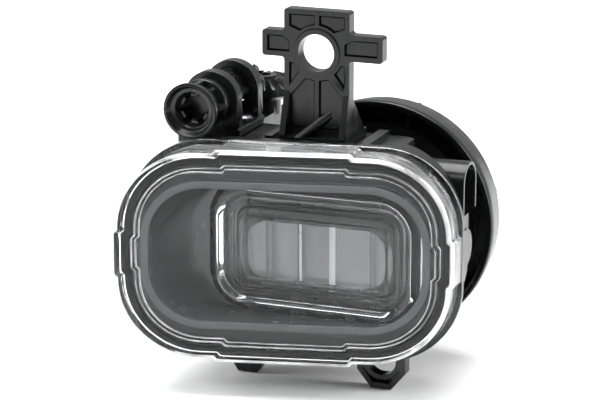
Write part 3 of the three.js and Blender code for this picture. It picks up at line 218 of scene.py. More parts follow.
@dataclass(frozen=True)
class Moulded:
    """Moulded plastic or rubber: a fine grain, cloudy colour and uneven gloss."""

    name: str
    dark: Colour
    light: Colour
    gloss: Flat = (0.32, 0.44)
    grain: float = 2600.0
    depth: float = 0.00003
    shine: float = 0.5
    clearness: float = 0.0
    polish: float = 0.0

    def make(self) -> bpy.types.Material:
        """Builds the material."""
        recipe = Recipe(self.name)
        cloud = recipe.noise(90.0)
        recipe.shade(cloud.outputs[0], self.dark, self.light)
        streak = recipe.noise(240.0, 4.0, (1, 1, 0.25))
        recipe.span(streak.outputs[0], *self.gloss, "Roughness")
        grain = recipe.noise(self.grain, 2.0)
        recipe.bump(grain.outputs[0], self.depth)
        recipe.set(IOR=1.5, Specular_IOR_Level=self.shine, Transmission_Weight=self.clearness,
                   Coat_Weight=self.polish, Coat_Roughness=0.05)
        return recipe.material


@dataclass(frozen=True)
class Clear:
    """Clear moulded plastic, with slow ripples from the mould."""

    name: str
    tint: Colour
    ior: float = 1.55
    gloss: Flat = (0.0, 0.02)
    ripple: float = 0.00004
    shine: float = 1.0

    def make(self) -> bpy.types.Material:
        """Builds the material."""
        recipe = Recipe(self.name)
        haze = recipe.noise(60.0)
        pale = tuple(0.985 * level for level in self.tint)
        recipe.shade(haze.outputs[0], pale, self.tint)
        recipe.span(haze.outputs[0], *self.gloss, "Roughness")
        ripple = recipe.noise(120.0, 1.0)
        recipe.bump(ripple.outputs[0], self.ripple)
        recipe.set(Transmission_Weight=1.0, IOR=self.ior, Specular_Tint=(*(self.shine,) * 3, 1))
        recipe.let_lamps_through(self.tint)
        return recipe.material


@dataclass(frozen=True)
class Skirt:
    """The lens's side wall: clear plastic, whitened in streaks as a painted sheen that stands in
    for the bright backdrop seen through it.
    """

    name: str
    tint: Colour = (0.95, 0.955, 0.96)
    ior: float = 1.5
    streaks: float = 260.0
    clearest: float = 1.0
    milkiest: float = 0.8

    def make(self) -> bpy.types.Material:
        """Builds the material."""
        recipe = Recipe(self.name)
        streak = recipe.noise(self.streaks, 3.0, (0.25, 2.2, 0.25))
        recipe.shade(streak.outputs[0], self.tint, (1, 1, 1))
        recipe.span(streak.outputs[0], self.milkiest, self.clearest, "Transmission Weight")
        recipe.set(IOR=self.ior, Roughness=0.02)
        recipe.let_lamps_through(self.tint)
        return recipe.material


@dataclass(frozen=True)
class Metal:
    """Bare or plated metal with drawn or cut lines."""

    name: str
    dark: Colour
    light: Colour
    gloss: Flat = (0.22, 0.4)
    stretch: tuple[float, float, float] = (1, 1, 0.08)
    depth: float = 0.00001

    def make(self) -> bpy.types.Material:
        """Builds the material."""
        recipe = Recipe(self.name)
        lines = recipe.noise(3000.0, 3.0, self.stretch)
        recipe.shade(lines.outputs[0], self.dark, self.light)
        recipe.span(lines.outputs[0], *self.gloss, "Roughness")
        recipe.bump(lines.outputs[0], self.depth)
        recipe.set(Metallic=1.0)
        return recipe.material


FINISHES = {
    Slot.BLACK: Moulded("black_plastic", (0.0045, 0.0047, 0.005), (0.0075, 0.0078, 0.0082),
                        (0.2, 0.3), 2600.0, 0.00001, 0.38),
    Slot.GREY: Moulded("bezel_grey", (0.03, 0.031, 0.033), (0.037, 0.038, 0.04),
                       (0.2, 0.28), 3200.0, 0.000006),
    Slot.LENS: Clear("lens_clear", (0.985, 0.99, 0.99), 1.55, (0.0, 0.01), 0.000003, 0.2),
    Slot.OPTIC: Clear("optic_clear", (0.93, 0.94, 0.945), 1.5, (0.04, 0.06), 0.000004, 0.6),
    Slot.RUBBER: Moulded("seal_rubber", (0.003, 0.003, 0.0032), (0.006, 0.006, 0.006),
                         (0.6, 0.8), 1800.0, 0.00004, 0.2),
    Slot.STEEL: Metal("zinc_steel", (0.1, 0.1, 0.105), (0.16, 0.16, 0.165)),
    Slot.TINNED: Metal("tinned_metal", (0.6, 0.56, 0.48), (0.74, 0.71, 0.64), (0.2, 0.3)),
    Slot.ALUMINIUM: Metal("heat_sink_metal", (0.42, 0.43, 0.45), (0.58, 0.59, 0.61), (0.35, 0.5)),
    Slot.BOARD: Moulded("board_white", (0.62, 0.62, 0.6), (0.75, 0.75, 0.73),
                        (0.3, 0.4), 1500.0, 0.00001),
    Slot.LED: Moulded("led_yellow", (0.62, 0.42, 0.05), (0.85, 0.62, 0.12),
                      (0.3, 0.4), 4000.0, 0.00001),
    Slot.PAD: Moulded("pad_grey", (0.2, 0.24, 0.28), (0.28, 0.32, 0.36),
                      (0.6, 0.8), 2000.0, 0.00004),
}
MATERIALS = {slot: finish.make() for slot, finish in FINISHES.items()}
BORDER = Moulded("bezel_border", (0.018, 0.0185, 0.02), (0.022, 0.023, 0.025),
                 (0.34, 0.44), 3200.0, 0.00001)
BAND = Moulded("bezel_band", (0.06, 0.062, 0.064), (0.07, 0.072, 0.074),
               (0.5, 0.62), 3200.0, 0.00002)


def frosted(name: str, level: float) -> Moulded:
    """Frosted clear plastic of one grey level, for part of the window; its darker and lighter
    copies paint shade, light and a highlight onto the window's bands.
    """
    dark, light = ((0.9 * level,) * 3, (level,) * 3)
    return Moulded(name, dark, light, (0.3, 0.36), 900.0, 0.00001, 0.4, 0.2, 0.8)


FROSTED = frosted("window_edge", 0.2)
# Grey copies of the frosted window that paint shade, half shade, light and a bright highlight onto
# its front. They stand in for light refracted through the optic.
WINDOW_PAINTED_SHADE = frosted("window_painted_shade", 0.09)
WINDOW_PAINTED_HALF_SHADE = frosted("window_painted_half_shade", 0.15)
WINDOW_PAINTED_LIGHT = frosted("window_painted_light", 0.25)
WINDOW_PAINTED_HIGHLIGHT = frosted("window_painted_highlight", 0.95)
NODE_SLOTS = {row["node"]: Slot(row["material_slot"]) for row in frame["record"]["subparts"]}


# ---------------------------------------------------------------------------- the bench


def loosen() -> None:
    """Deselects every object, so that the next move acts on one piece only."""
    bpy.ops.object.select_all(action="DESELECT")


def take(piece: Piece) -> None:
    """Makes a piece the only one selected, and the active one."""
    loosen()
    piece.select_set(True)
    bpy.context.view_layer.objects.active = piece


@contextmanager
def editing(piece: Piece, kind: str = "VERT") -> Iterator[None]:
    """Opens a piece in edit mode with nothing selected, and closes it afterwards.

    Args:
        piece: The piece.
        kind: What is selected there: VERT, EDGE or FACE.
    """
    take(piece)
    bpy.ops.object.mode_set(mode="EDIT")
    bpy.ops.mesh.select_mode(type=kind)
    bpy.ops.mesh.select_all(action="DESELECT")
    yield
    bpy.ops.object.mode_set(mode="OBJECT")


def pick_faces(piece: Piece, test: Callable[[Vector, Vector], bool]) -> None:
    """Selects faces in edit mode by their middle and normal.

    Args:
        piece: The piece being edited.
        test: Takes a face's middle, in millimetres, and its normal.
    """
    mesh = bmesh.from_edit_mesh(piece.data)
    for face in mesh.faces:
        face.select_set(test(face.calc_center_median() / MM, face.normal))
    bmesh.update_edit_mesh(piece.data)


def fit(piece: Piece, kind: str, **settings: object) -> None:
    """Adds a modifier to a piece and applies it.

    Args:
        piece: The piece.
        kind: The modifier's type.
        settings: Its settings by name.
    """
    modifier = piece.modifiers.new(kind.title(), kind)
    for name, value in settings.items():
        setattr(modifier, name, value)
    take(piece)
    bpy.ops.object.modifier_apply(modifier=modifier.name)


def clean(piece: Piece) -> None:
    """Merges doubled points and turns every face outwards."""
    with editing(piece):
        bpy.ops.mesh.select_all(action="SELECT")
        bpy.ops.mesh.remove_doubles(threshold=0.000002)
        bpy.ops.mesh.normals_make_consistent(inside=False)


def smooth(piece: Piece, angle: float = 34.0) -> None:
    """Shades a piece smooth, save over edges sharper than an angle in degrees."""
    take(piece)
    bpy.ops.object.shade_smooth_by_angle(angle=math.radians(angle))


def soften(piece: Piece, width: float, segments: int = 2, angle: float = 34.0) -> None:
    """Rounds a piece's sharp edges, then shades it smooth.

    Args:
        piece: The piece.
        width: Width of each rounded edge.
        segments: Faces across it.
        angle: Edges sharper than this many degrees are rounded.
    """
    fit(piece, "BEVEL", width=width * MM, segments=segments, limit_method="ANGLE",
        angle_limit=math.radians(angle), use_clamp_overlap=True)
    smooth(piece)
    fit(piece, "WEIGHTED_NORMAL", keep_sharp=True, weight=80)


def fuse(piece: Piece, *others: Piece, action: str = "UNION") -> Piece:
    """Joins other solids to a piece, or cuts them from it.

    Args:
        piece: The piece.
        others: The solids, which are used up.
        action: UNION, DIFFERENCE or INTERSECT.

    Returns:
        The piece.
    """
    for other in others:
        fit(piece, "BOOLEAN", object=other, operation=action, solver="EXACT")
        bpy.data.objects.remove(other)
    return piece


def carve(piece: Piece, *tools: Piece) -> Piece:
    """Cuts solids from a piece."""
    return fuse(piece, *tools, action="DIFFERENCE")


def loft(name: str, rings: Sequence[Ring], ring_shaped: bool = False) -> Piece:
    """Draws a solid through rings of points: a circle shaped to the first, extruded on to each.

    Args:
        name: The piece's name.
        rings: Rings with the same number of points, in millimetres.
        ring_shaped: Joins the last ring to the first, for a piece with a hole through it.

    Returns:
        The piece.
    """
    loosen()
    bpy.ops.mesh.primitive_circle_add(vertices=len(rings[0]), radius=MM, fill_type="NGON")
    piece = bpy.context.object
    piece.name = piece.data.name = name
    for point, place in zip(piece.data.vertices, rings[0]):
        point.co = place * MM
    with editing(piece, "FACE"):
        bpy.ops.mesh.select_all(action="SELECT")
        for before, after in zip(rings, [*rings[1:], rings[0]] if ring_shaped else rings[1:]):
            bpy.ops.mesh.extrude_region_move()
            draw_on(piece, before, after)
        if ring_shaped:
            bpy.ops.mesh.select_all(action="DESELECT")
            most = len(rings[0])
            pick = bmesh.from_edit_mesh(piece.data)
            for face in pick.faces:
                face.select_set(len(face.verts) == most)
            bmesh.update_edit_mesh(piece.data)
            bpy.ops.mesh.delete(type="ONLY_FACE")
    clean(piece)
    return piece


def draw_on(piece: Piece, before: Ring, after: Ring) -> None:
    """Moves the ring of points just extruded from one place to the next."""
    mesh = bmesh.from_edit_mesh(piece.data)
    fresh = [vertex for vertex in mesh.verts if vertex.select]
    step = {tuple(round(value, 4) for value in old): new for old, new in zip(before, after)}
    for vertex in fresh:
        key = tuple(round(value / MM, 4) for value in vertex.co)
        place = step.get(key)
        if place is None:
            pairs = zip(before, after)
            place = min(pairs, key=lambda pair: (pair[0] * MM - vertex.co).length_squared)[1]
        vertex.co = place * MM
    bmesh.update_edit_mesh(piece.data)


def on_axis(axis: Axis, centre: Flat, radius: float, along: float, angle: float) -> Vector:
    """A point at a radius and an angle about an axis.

    Args:
        axis: The axis.
        centre: Its place in the two other axes, in order.
        radius: Distance from it.
        along: Place along it.
        angle: Turn about it, in radians.
    """
    flat = [centre[0] + radius * math.cos(angle), centre[1] + radius * math.sin(angle)]
    flat.insert(axis.value, along)
    return Vector(flat)


def turn(name: str, axis: Axis, centre: Flat, profile: Sequence[Flat], segments: int = 64,
         ring_shaped: bool = False) -> Piece:
    """Turns a solid on a lathe: its profile is pairs of radius and place along the axis."""
    angles = [2 * math.pi * i / segments for i in range(segments)]
    rings = [[on_axis(axis, centre, radius, along, angle) for angle in angles]
             for radius, along in profile]
    return loft(name, rings, ring_shaped)


def pin(axis: Axis, centre: Flat, radius: float, near: float, far: float,
        segments: int = 24) -> Piece:
    """A plain round bar, from one place along an axis to another, to cut a bore with."""
    return turn("pin", axis, centre, [(radius, near), (radius, far)], segments)


def slab(name: str, outline: Sequence[Flat], near: float, far: float, axis: Axis = Axis.Y) -> Piece:
    """Draws a flat outline out along an axis, from one place to another."""
    rings = []
    for along in (near, far):
        ring = []
        for pair in outline:
            flat = list(pair)
            flat.insert(axis.value, along)
            ring.append(Vector(flat))
        rings.append(ring)
    return loft(name, rings)


def block(name: str, low: Sequence[float], high: Sequence[float]) -> Piece:
    """A block between two corners."""
    loosen()
    middle = [(a + b) / 2 * MM for a, b in zip(low, high)]
    size = [(b - a) * MM for a, b in zip(low, high)]
    bpy.ops.mesh.primitive_cube_add(size=1, location=middle, scale=size)
    bpy.ops.object.transform_apply(location=True, rotation=True, scale=True)
    piece = bpy.context.object
    piece.name = name
    return piece


def rounded(corners: Sequence[Flat], radius: float, steps: int = 4) -> list[Flat]:
    """An outline through corners, each rounded to a radius where its sides leave room."""
    points = []
    count = len(corners)
    for i, corner in enumerate(corners):
        here = Vector(corner)
        back = Vector(corners[i - 1]) - here
        on = Vector(corners[(i + 1) % count]) - here
        half = back.angle(on) / 2
        reach = min(radius / math.tan(half), back.length * 0.45, on.length * 0.45)
        size = reach * math.tan(half)
        inward = (back.normalized() + on.normalized()).normalized()
        middle = here + inward * (size / math.sin(half))
        start = here + back.normalized() * reach - middle
        end = here + on.normalized() * reach - middle
        sweep = start.angle_signed(end)
        for step in range(steps + 1):
            arm = start.copy()
            arm.rotate(Matrix.Rotation(-sweep * step / steps, 2))
            points.append(tuple(middle + arm))
    return points


def paint(piece: Piece, material: bpy.types.Material,
          test: Callable[[Vector, Vector], bool]) -> None:
    """Gives some of a dressed piece's faces another material.

    Args:
        piece: The piece.
        material: The material.
        test: Takes a face's middle, in millimetres, and its normal.
    """
    piece.data.materials.append(material)
    with editing(piece, "FACE"):
        pick_faces(piece, test)
        piece.active_material_index = len(piece.data.materials) - 1
        bpy.ops.object.material_slot_assign()


def dress(piece: Piece, slot: Slot, body: Body, *nodes: str) -> Piece:
    """Gives a finished piece its material, its body and the nodes that it stands for."""
    piece.data.materials.clear()
    piece.data.materials.append(MATERIALS[slot])
    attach(piece, body.value)
    if nodes:
        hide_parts(*nodes)
    LOG.info("%s: %d faces on %s", piece.name, len(piece.data.polygons), body.value)
    return piece


def refine(node: str, body: Body, width: float) -> Piece:
    """Makes a merged copy of a frame node with its edges rounded, and puts it in the node's place.

    Args:
        node: The node.
        body: The body that it rides on.
        width: Width of the rounded edges.

    Returns:
        The new piece.
    """
    source = frame["nodes"][node]
    piece = bpy.data.objects.new(node + "_moulding", source.data.copy())
    bpy.context.scene.collection.objects.link(piece)
    with editing(piece):
        bpy.ops.mesh.select_all(action="SELECT")
        bpy.ops.mesh.remove_doubles(threshold=0.000005)
        bpy.ops.mesh.dissolve_limited(angle_limit=math.radians(0.8))
        bpy.ops.mesh.customdata_custom_splitnormals_clear()
    soften(piece, width)
    return dress(piece, NODE_SLOTS[node], body, node)


# ---------------------------------------------------------------------------- swept front


@dataclass
class SweptFace:
    """The lens face, which leans back in plan towards the outside of the car."""

    x: float = -2.7
    z: float = -63.5
    front: float = -29.4
    width: float = 108.4
    height: float = 71.6
    corner: float = 26.0
    sweep: float = 13.5
    joint_sweep: float = 9.0
    bend: float = 6.0
    foot: float = 13.0
    flange: float = 15.8
    step: float = 1.2
    long_half: float = 21.0
    short_half: float = 7.0
    ramp: float = 1.5
    arc_steps: int = 16
    ramp_steps: int = 5

    def face_y(self, x: float, depth: float = 0.0) -> float:
        """Y at an X and a depth behind the face; the lean eases from the bend to the foot."""
        face = math.tan(math.radians(self.sweep))
        joint = math.tan(math.radians(self.joint_sweep))
        share = max(0.0, min(depth, self.flange) - self.bend) / (self.foot - self.bend)
        return self.front + (face + (joint - face) * share) * (x - self.x) + depth

    def depth_at(self, place: Vector) -> float:
        """How far a point lies behind the face."""
        return place.y - self.face_y(place.x)

    def side(self, half: float, raised: float, step: float) -> list[Flat]:
        """Half a side, from its middle to its corner: distance along and how far it stands out.

        Args:
            half: Half the side's straight length.
            raised: Half the length of its raised middle.
            step: How far the middle stands out.
        """
        pairs = [(0.0, step)]
        for i in range(self.ramp_steps + 1):
            share = i / self.ramp_steps
            level = step * (1 + math.cos(math.pi * share)) / 2
            along = min(raised + self.ramp * share, half * (0.9 + 0.1 * share))
            pairs.append((along, level))
        return pairs

    def outline(self, width: float, height: float, corner: float, step: float,
                grow: float = 0.0) -> list[Flat]:
        """A closed outline about the origin, always with the same number of points.

        Args:
            width: Overall width.
            height: Overall height.
            corner: Corner radius.
            step: How far the middle of each side stands out.
            grow: How much the steps' places shift, as the outline grows.

        Returns:
            Pairs of X and Z, counter-clockwise from the middle of the right side.
        """
        wide, high = width / 2 - step, height / 2 - step
        mitre = grow * math.tan(math.pi / 8)
        upright = self.side(high - corner, self.short_half + mitre, step)
        level = self.side(wide - corner, self.long_half + mitre, step)
        quarter = [(wide + out, along) for along, out in upright]
        for i in range(self.arc_steps + 1):
            angle = math.pi / 2 * i / self.arc_steps
            quarter.append((wide - corner + corner * math.cos(angle),
                            high - corner + corner * math.sin(angle)))
        quarter += [(along, high + out) for along, out in reversed(level)]
        upper = quarter + [(-x, z) for x, z in reversed(quarter[:-1])]
        return upper + [(x, -z) for x, z in reversed(upper[1:-1])]

    def ring(self, grow: float, depth: float, stepped: bool = True, scale: float = 1.0) -> Ring:
        """A ring that follows the lens's edge.

        Args:
            grow: How far outside the edge it runs.
            depth: How far behind the face.
            stepped: With the steps in its sides.
            scale: Share of its size, for rings across the face.
        """
        step = self.step if stepped else 0.0
        pairs = self.outline(
            self.width + 2 * grow, self.height + 2 * grow, self.corner + grow, step, grow)
        return [self.at(scale * x, depth, scale * z) for x, z in pairs]

    def at(self, x: float, depth: float, z: float) -> Vector:
        """A point on the swept face, from its middle."""
        return Vector((self.x + x, self.face_y(self.x + x, depth), self.z + z))

    def plain(self, width: float, height: float, corner: float, depth: float) -> Ring:
        """A rounded rectangle on the swept face, some depth behind it."""
        pairs = self.outline(width, height, corner, 0.0)
        return [self.at(x, depth, z) for x, z in pairs]


@dataclass
class LensUnit:
    """The clear front lens and the black seal behind its edge."""

    face: SweptFace
    plate: float = 2.4
    wall: float = 1.6
    skirt: float = 11.0
    foot: float = 2.0
    foot_grow: float = 0.4
    gap: float = 0.3
    seal_width: float = 2.6
    seal_height: float = 1.6
    dome: float = 1.1
    rib_high: float = 1.3
    edge_depth: float = 1.2

    def crown(self, depth: float, inset: float, scales: Sequence[float]) -> list[Ring]:
        """Rings across the domed face, outermost first.

        Args:
            depth: Depth of the face at its edge.
            inset: How far inside the edge the dome starts.
            scales: Share of the outermost ring's size for each ring.
        """
        return [self.face.ring(-inset, depth - self.dome * (1 - scale ** 2), True, scale)
                for scale in scales]

    def lens(self) -> Piece:
        """Draws the lens as one shell, from its front face over the edge and up inside."""
        ring, plate, wall, skirt = self.face.ring, self.plate, self.wall, self.skirt
        back, grown = skirt + self.foot, self.foot_grow
        rib = wall + self.gap + self.seal_width + 0.9
        rib_top = plate + self.rib_high
        scales = (0.97, 0.9, 0.8, 0.68, 0.54, 0.38, 0.2, 0.06)
        outside = self.crown(0.0, 1.3, scales)[::-1] + [
            ring(-1.3, 0.0), ring(-0.85, 0.09), ring(-0.45, 0.32), ring(-0.16, 0.68),
            ring(-0.03, 1.05), ring(0, 1.5), ring(0, 6.0), ring(0, skirt - 0.6),
            ring(0.12, skirt - 0.15), ring(grown - 0.1, skirt, False),
            ring(grown, skirt + 0.2, False), ring(grown, back - 0.2, False),
            ring(grown - 0.2, back, False)]
        inside = [
            ring(-wall + 0.1, back), ring(-wall, back - 0.2), ring(-wall, 6.0),
            ring(-wall, plate + 0.6), ring(-wall - 0.25, plate + 0.18), ring(-wall - 0.7, plate),
            ring(-rib + 0.25, plate), ring(-rib, plate + 0.25), ring(-rib, rib_top - 0.35),
            ring(-rib - 0.2, rib_top), ring(-rib - 1.0, rib_top), ring(-rib - 1.2, rib_top - 0.35),
            ring(-rib - 1.2, plate + 0.25), ring(-rib - 1.45, plate)]
        hollow = self.crown(plate, rib + 1.45, scales)
        piece = loft("clear_lens", outside + inside + hollow)
        smooth(piece, 60)
        dress(piece, Slot.LENS, Body.LAMP, "front_lens")
        depth_at, edge = self.face.depth_at, self.edge_depth
        # The side wall and the rounded edge are whitened in streaks: a painted sheen for the
        # backdrop seen through them.
        paint(piece, Skirt("lens_skirt_painted_sheen").make(), lambda at, way: (
            abs(way.y) < 0.75 and edge < depth_at(at) < back + 0.5 and self.outward(at, way)))
        paint(piece, Skirt("lens_edge_painted_sheen", milkiest=0.35, clearest=0.8).make(), lambda at, way: (
            way.y < 0.2 and 0.02 < depth_at(at) < edge and self.outward(at, way)))
        return piece

    def outward(self, at: Vector, way: Vector) -> bool:
        """Whether a face looks away from the lens's middle."""
        return way.x * (at.x - self.face.x) + way.z * (at.z - self.face.z) > 0

    def seal(self) -> Piece:
        """Draws the seal as a ring with rounded edges."""
        outer = -(self.wall + self.gap)
        inner = outer - self.seal_width
        front = self.plate + self.gap
        back = front + self.seal_height
        ring = self.face.ring
        piece = loft("rubber_seal", [
            ring(outer, front + 0.3), ring(outer - 0.3, front), ring(inner + 0.3, front),
            ring(inner, front + 0.3), ring(inner, back - 0.2), ring(inner + 0.2, back),
            ring(outer - 0.2, back), ring(outer, back - 0.2)], True)
        smooth(piece, 60)
        return dress(piece, Slot.RUBBER, Body.LAMP, "lens_seal")

    def build(self) -> None:
        """Makes both pieces."""
        self.lens()
        self.seal()


@dataclass
class BezelUnit:
    """The grey bezel: a flat border, a raised band and a bowl down to the optic."""

    face: SweptFace
    front: float = 5.0
    thick: float = 1.6
    band_rise: float = 2.0
    band_width: float = 92.0
    band_height: float = 50.0
    band_corner: float = 20.0
    band_face: float = 2.6
    wall: float = 1.2
    edge_inset: float = 4.9
    mouth_x: float = 2.2
    mouth_z: float = -65.0
    mouth_width: float = 75.0
    mouth_height: float = 46.0
    mouth_corner: float = 14.0
    mouth_y: float = -11.0
    bowl_steps: int = 14

    def band(self, inset: float, depth: float) -> Ring:
        """A ring along the band, some way in from its outside."""
        width, height = self.band_width - 2 * inset, self.band_height - 2 * inset
        return self.face.plain(width, height, self.band_corner - inset, depth)

    def mouth(self, grow: float) -> Ring:
        """The opening round the optic, square to the lamp's axis."""
        width, height = self.mouth_width + 2 * grow, self.mouth_height + 2 * grow
        pairs = self.face.outline(width, height, self.mouth_corner + grow, 0.0)
        return [Vector((self.mouth_x + x, self.mouth_y, self.mouth_z + z)) for x, z in pairs]

    def bowl(self, edge: Ring, mouth: Ring) -> list[Ring]:
        """Rings from the band down to the opening, on a quarter of an ellipse."""
        rings = []
        for i in range(1, self.bowl_steps):
            angle = math.pi / 2 * i / self.bowl_steps
            across, back = 1 - math.cos(angle), math.sin(angle)
            rings.append([Vector((a.x + (b.x - a.x) * across,
                                  a.y + (b.y - a.y) * back,
                                  a.z + (b.z - a.z) * across)) for a, b in zip(edge, mouth)])
        return rings

    def build(self) -> None:
        """Draws the bezel as one shell and dresses it."""
        ring, band = self.face.ring, self.band
        top = self.front - self.band_rise
        back = self.front + self.thick
        edge = band(self.band_face, top + 0.25)
        behind = band(self.band_face - self.wall, back)
        mouth, mouth_back = self.mouth(0), self.mouth(self.wall)
        front_side = [
            ring(-self.edge_inset, self.front + 0.2), ring(-self.edge_inset - 0.2, self.front),
            band(-0.5, self.front), band(-0.12, self.front - 0.2), band(0, self.front - 0.7),
            band(0, top + 0.3), band(0.1, top + 0.08), band(0.32, top),
            band(self.band_face - 0.3, top), band(self.band_face - 0.08, top + 0.07), edge,
            *self.bowl(edge, mouth), mouth]
        back_side = [mouth_back, *reversed(self.bowl(behind, mouth_back)), behind,
                     ring(-self.edge_inset - 0.2, back), ring(-self.edge_inset, back - 0.2)]
        piece = loft("grey_bezel", front_side + back_side, True)
        smooth(piece, 50)
        dress(piece, Slot.GREY, Body.LAMP, "bezel")
        depth_at = self.face.depth_at
        paint(piece, BORDER.make(), lambda at, way: (
            way.y < -0.8 and abs(depth_at(at) - self.front) < 0.25))
        paint(piece, BAND.make(), lambda at, way: way.y < -0.8 and depth_at(at) < top + 0.2)


@dataclass
class OpticUnit:
    """The clear optic of the LED module, and the fluted window behind its middle, with light and
    shade painted onto the window in bands.
    """

    face: SweptFace
    x: float = 2.2
    z: float = -65.0
    width: float = 71.0
    height: float = 42.0
    corner: float = 12.0
    front: float = -14.0
    depth: float = 8.0
    skin: float = 3.5
    wall: float = 4.0
    dish: tuple[Flat, ...] = (
        (14.0, 1.5), (11.5, 1.45), (10.4, 1.3), (9.9, 0.8), (9.5, 0.55), (9.1, 0.6), (8.9, 0.8),
        (8.2, 1.85), (7.9, 2.1), (7.5, 2.0), (6.9, 1.1), (6.4, 0.7), (5.9, 0.65), (5.6, 0.85),
        (4.9, 1.9), (4.6, 2.1), (4.2, 1.9), (3.5, 0.9), (3.0, 0.4), (2.3, 0.05), (1.7, 0.0),
        (1.3, 0.15), (0.5, 1.35), (0.15, 2.0), (0.0, 2.6))
    window_width: float = 50.0
    window_height: float = 20.6
    window_drop: float = 1.4
    flute_edges: tuple[float, ...] = (-17.8, -15.7, -6.7, -5.2, 4.4, 6.6, 18.6, 20.2)
    flute_rise: float = 1.2
    stem_back: float = 0.8
    flute_steps: int = 8
    flute_full: float = 8.0
    end_round: float = 0.86
    stem_inset: float = 5.0
    stem_half: float = 8.5
    # Bands across the window's front, as finish, left edge and right edge: painted shade, light and
    # highlight.
    painted_light_bands: tuple[tuple[Moulded, float, float], ...] = (
        (WINDOW_PAINTED_SHADE, -17.8, -15.7), (WINDOW_PAINTED_LIGHT, -15.7, -6.7), (WINDOW_PAINTED_SHADE, -6.7, -5.9),
        (WINDOW_PAINTED_HIGHLIGHT, -5.9, -5.2), (WINDOW_PAINTED_HALF_SHADE, -5.2, 4.4), (WINDOW_PAINTED_HIGHLIGHT, 4.4, 6.6),
        (WINDOW_PAINTED_LIGHT, 6.6, 18.6), (WINDOW_PAINTED_SHADE, 18.6, 20.2))

    def ring(self, inset: float, y: float) -> Ring:
        """A ring round the optic at a Y, some way in from its edge."""
        width, height = self.width - 2 * inset, self.height - 2 * inset
        pairs = self.face.outline(width, height, max(self.corner - inset, 3.0), 0.0)
        return [Vector((self.x + x, y, self.z + z)) for x, z in pairs]

    def optic(self) -> Piece:
        """Draws the clear optic: a rounded block, a stepped dish in front, a hollow behind."""
        front, back, wall, ring = self.front, self.front + self.depth, self.wall, self.ring
        dish = [ring(inset, front + sunk) for inset, sunk in self.dish]
        floor = front + self.skin
        outside = [ring(0.0, back - 0.4), ring(0.4, back), ring(wall - 0.5, back)]
        hollow = [
            ring(wall, back - 0.5), ring(wall + 0.3, floor + 1.2), ring(wall + 0.8, floor + 0.35),
            ring(wall + 1.8, floor), ring(14.0, floor)]
        piece = loft("clear_optic", dish + outside + hollow)
        smooth(piece, 50)
        return dress(piece, Slot.OPTIC, Body.MODULE, "optic_lens")

    def flutes(self, front: float) -> list[Flat]:
        """The window's front in plan, a shallow hollow between each pair of edges."""
        half = self.window_width / 2
        edges = [-half, *self.flute_edges, half]
        points = []
        for near, far in zip(edges, edges[1:]):
            for i in range(self.flute_steps):
                share = i / self.flute_steps
                full = self.flute_rise * min(1.0, (far - near) / self.flute_full)
                rise = full * 4 * share * (1 - share)
                along = self.x + near + (far - near) * share
                points.append((along, front + self.flute_rise - rise))
        return [*points, (self.x + half, front + self.flute_rise)]

    def upright(self, half: float, high: float, z: float) -> list[Flat]:
        """The corners of an upright rectangle round the optic's middle."""
        return [(self.x + across * half, z + up * high)
                for across, up in ((-1, -1), (1, -1), (1, 1), (-1, 1))]

    def window(self) -> Piece:
        """Draws the window: upright flutes across its front, and a stem back to the LEDs, with
        light, shade and highlights painted onto its front in bands.
        """
        half, high = self.window_width / 2, self.window_height / 2
        front, back = self.front + self.skin + 0.35, self.front + self.depth - 0.2
        middle = self.z - self.window_drop
        plan = [*self.flutes(front), (self.x + half, back), (self.x - half, back)]
        piece = slab("fluted_window", plan, middle - high, middle + high, Axis.Z)
        trim = rounded(self.upright(half, high, middle), high * self.end_round, 12)
        fuse(piece, slab("trim", trim, front - 1, back + 1), action="INTERSECT")
        stem = rounded(self.upright(half - self.stem_inset, self.stem_half, self.z), 5.0, 6)
        fuse(piece, slab("stem", stem, back - 1, self.stem_back))
        clean(piece)
        soften(piece, 0.25, 2, 40)
        dress(piece, Slot.OPTIC, Body.MODULE, "collimator")
        piece.data.materials[0] = FROSTED.make()
        # Paints the bands of light, shade and highlight onto the window's front faces.
        for finish, low, high in self.painted_light_bands:
            paint(piece, finish.make(), lambda at, way: way.y < -0.5 and low < at.x - self.x < high)
        return piece

    def build(self) -> None:
        """Makes both pieces."""
        self.optic()
        self.window()


# ---------------------------------------------------------------------------- outer pieces


def mirrored(points: Sequence[Flat], side: int) -> list[Flat]:
    """An outline as drawn for the right side, or its mirror image for the left."""
    return list(points) if side > 0 else [(-x, z) for x, z in reversed(points)]


def around(centre: Flat, radius: float, degrees: float) -> Flat:
    """A point on a circle."""
    angle = math.radians(degrees)
    return centre[0] + radius * math.cos(angle), centre[1] + radius * math.sin(angle)


def arc(centre: Flat, radius: float, start: float, end: float, steps: int) -> list[Flat]:
    """Points along an arc, from one angle in degrees to another."""
    return [around(centre, radius, start + (end - start) * i / steps) for i in range(steps + 1)]


def shrunk(outline: Sequence[Flat], distance: float) -> list[Flat]:
    """An outline with every side moved inwards by a distance."""
    corners = [Vector(point) for point in outline]
    area = sum(a.cross(b) for a, b in zip(corners, corners[1:] + corners[:1]))
    inward = distance if area > 0 else -distance
    points = []
    for i, corner in enumerate(corners):
        came = (corner - corners[i - 1]).normalized()
        goes = (corners[(i + 1) % len(corners)] - corner).normalized()
        before, after = Vector((-came.y, came.x)), Vector((-goes.y, goes.x))
        middle = (before + after).normalized()
        points.append(tuple(corner + middle * (inward / max(0.4, middle.dot(before)))))
    return points


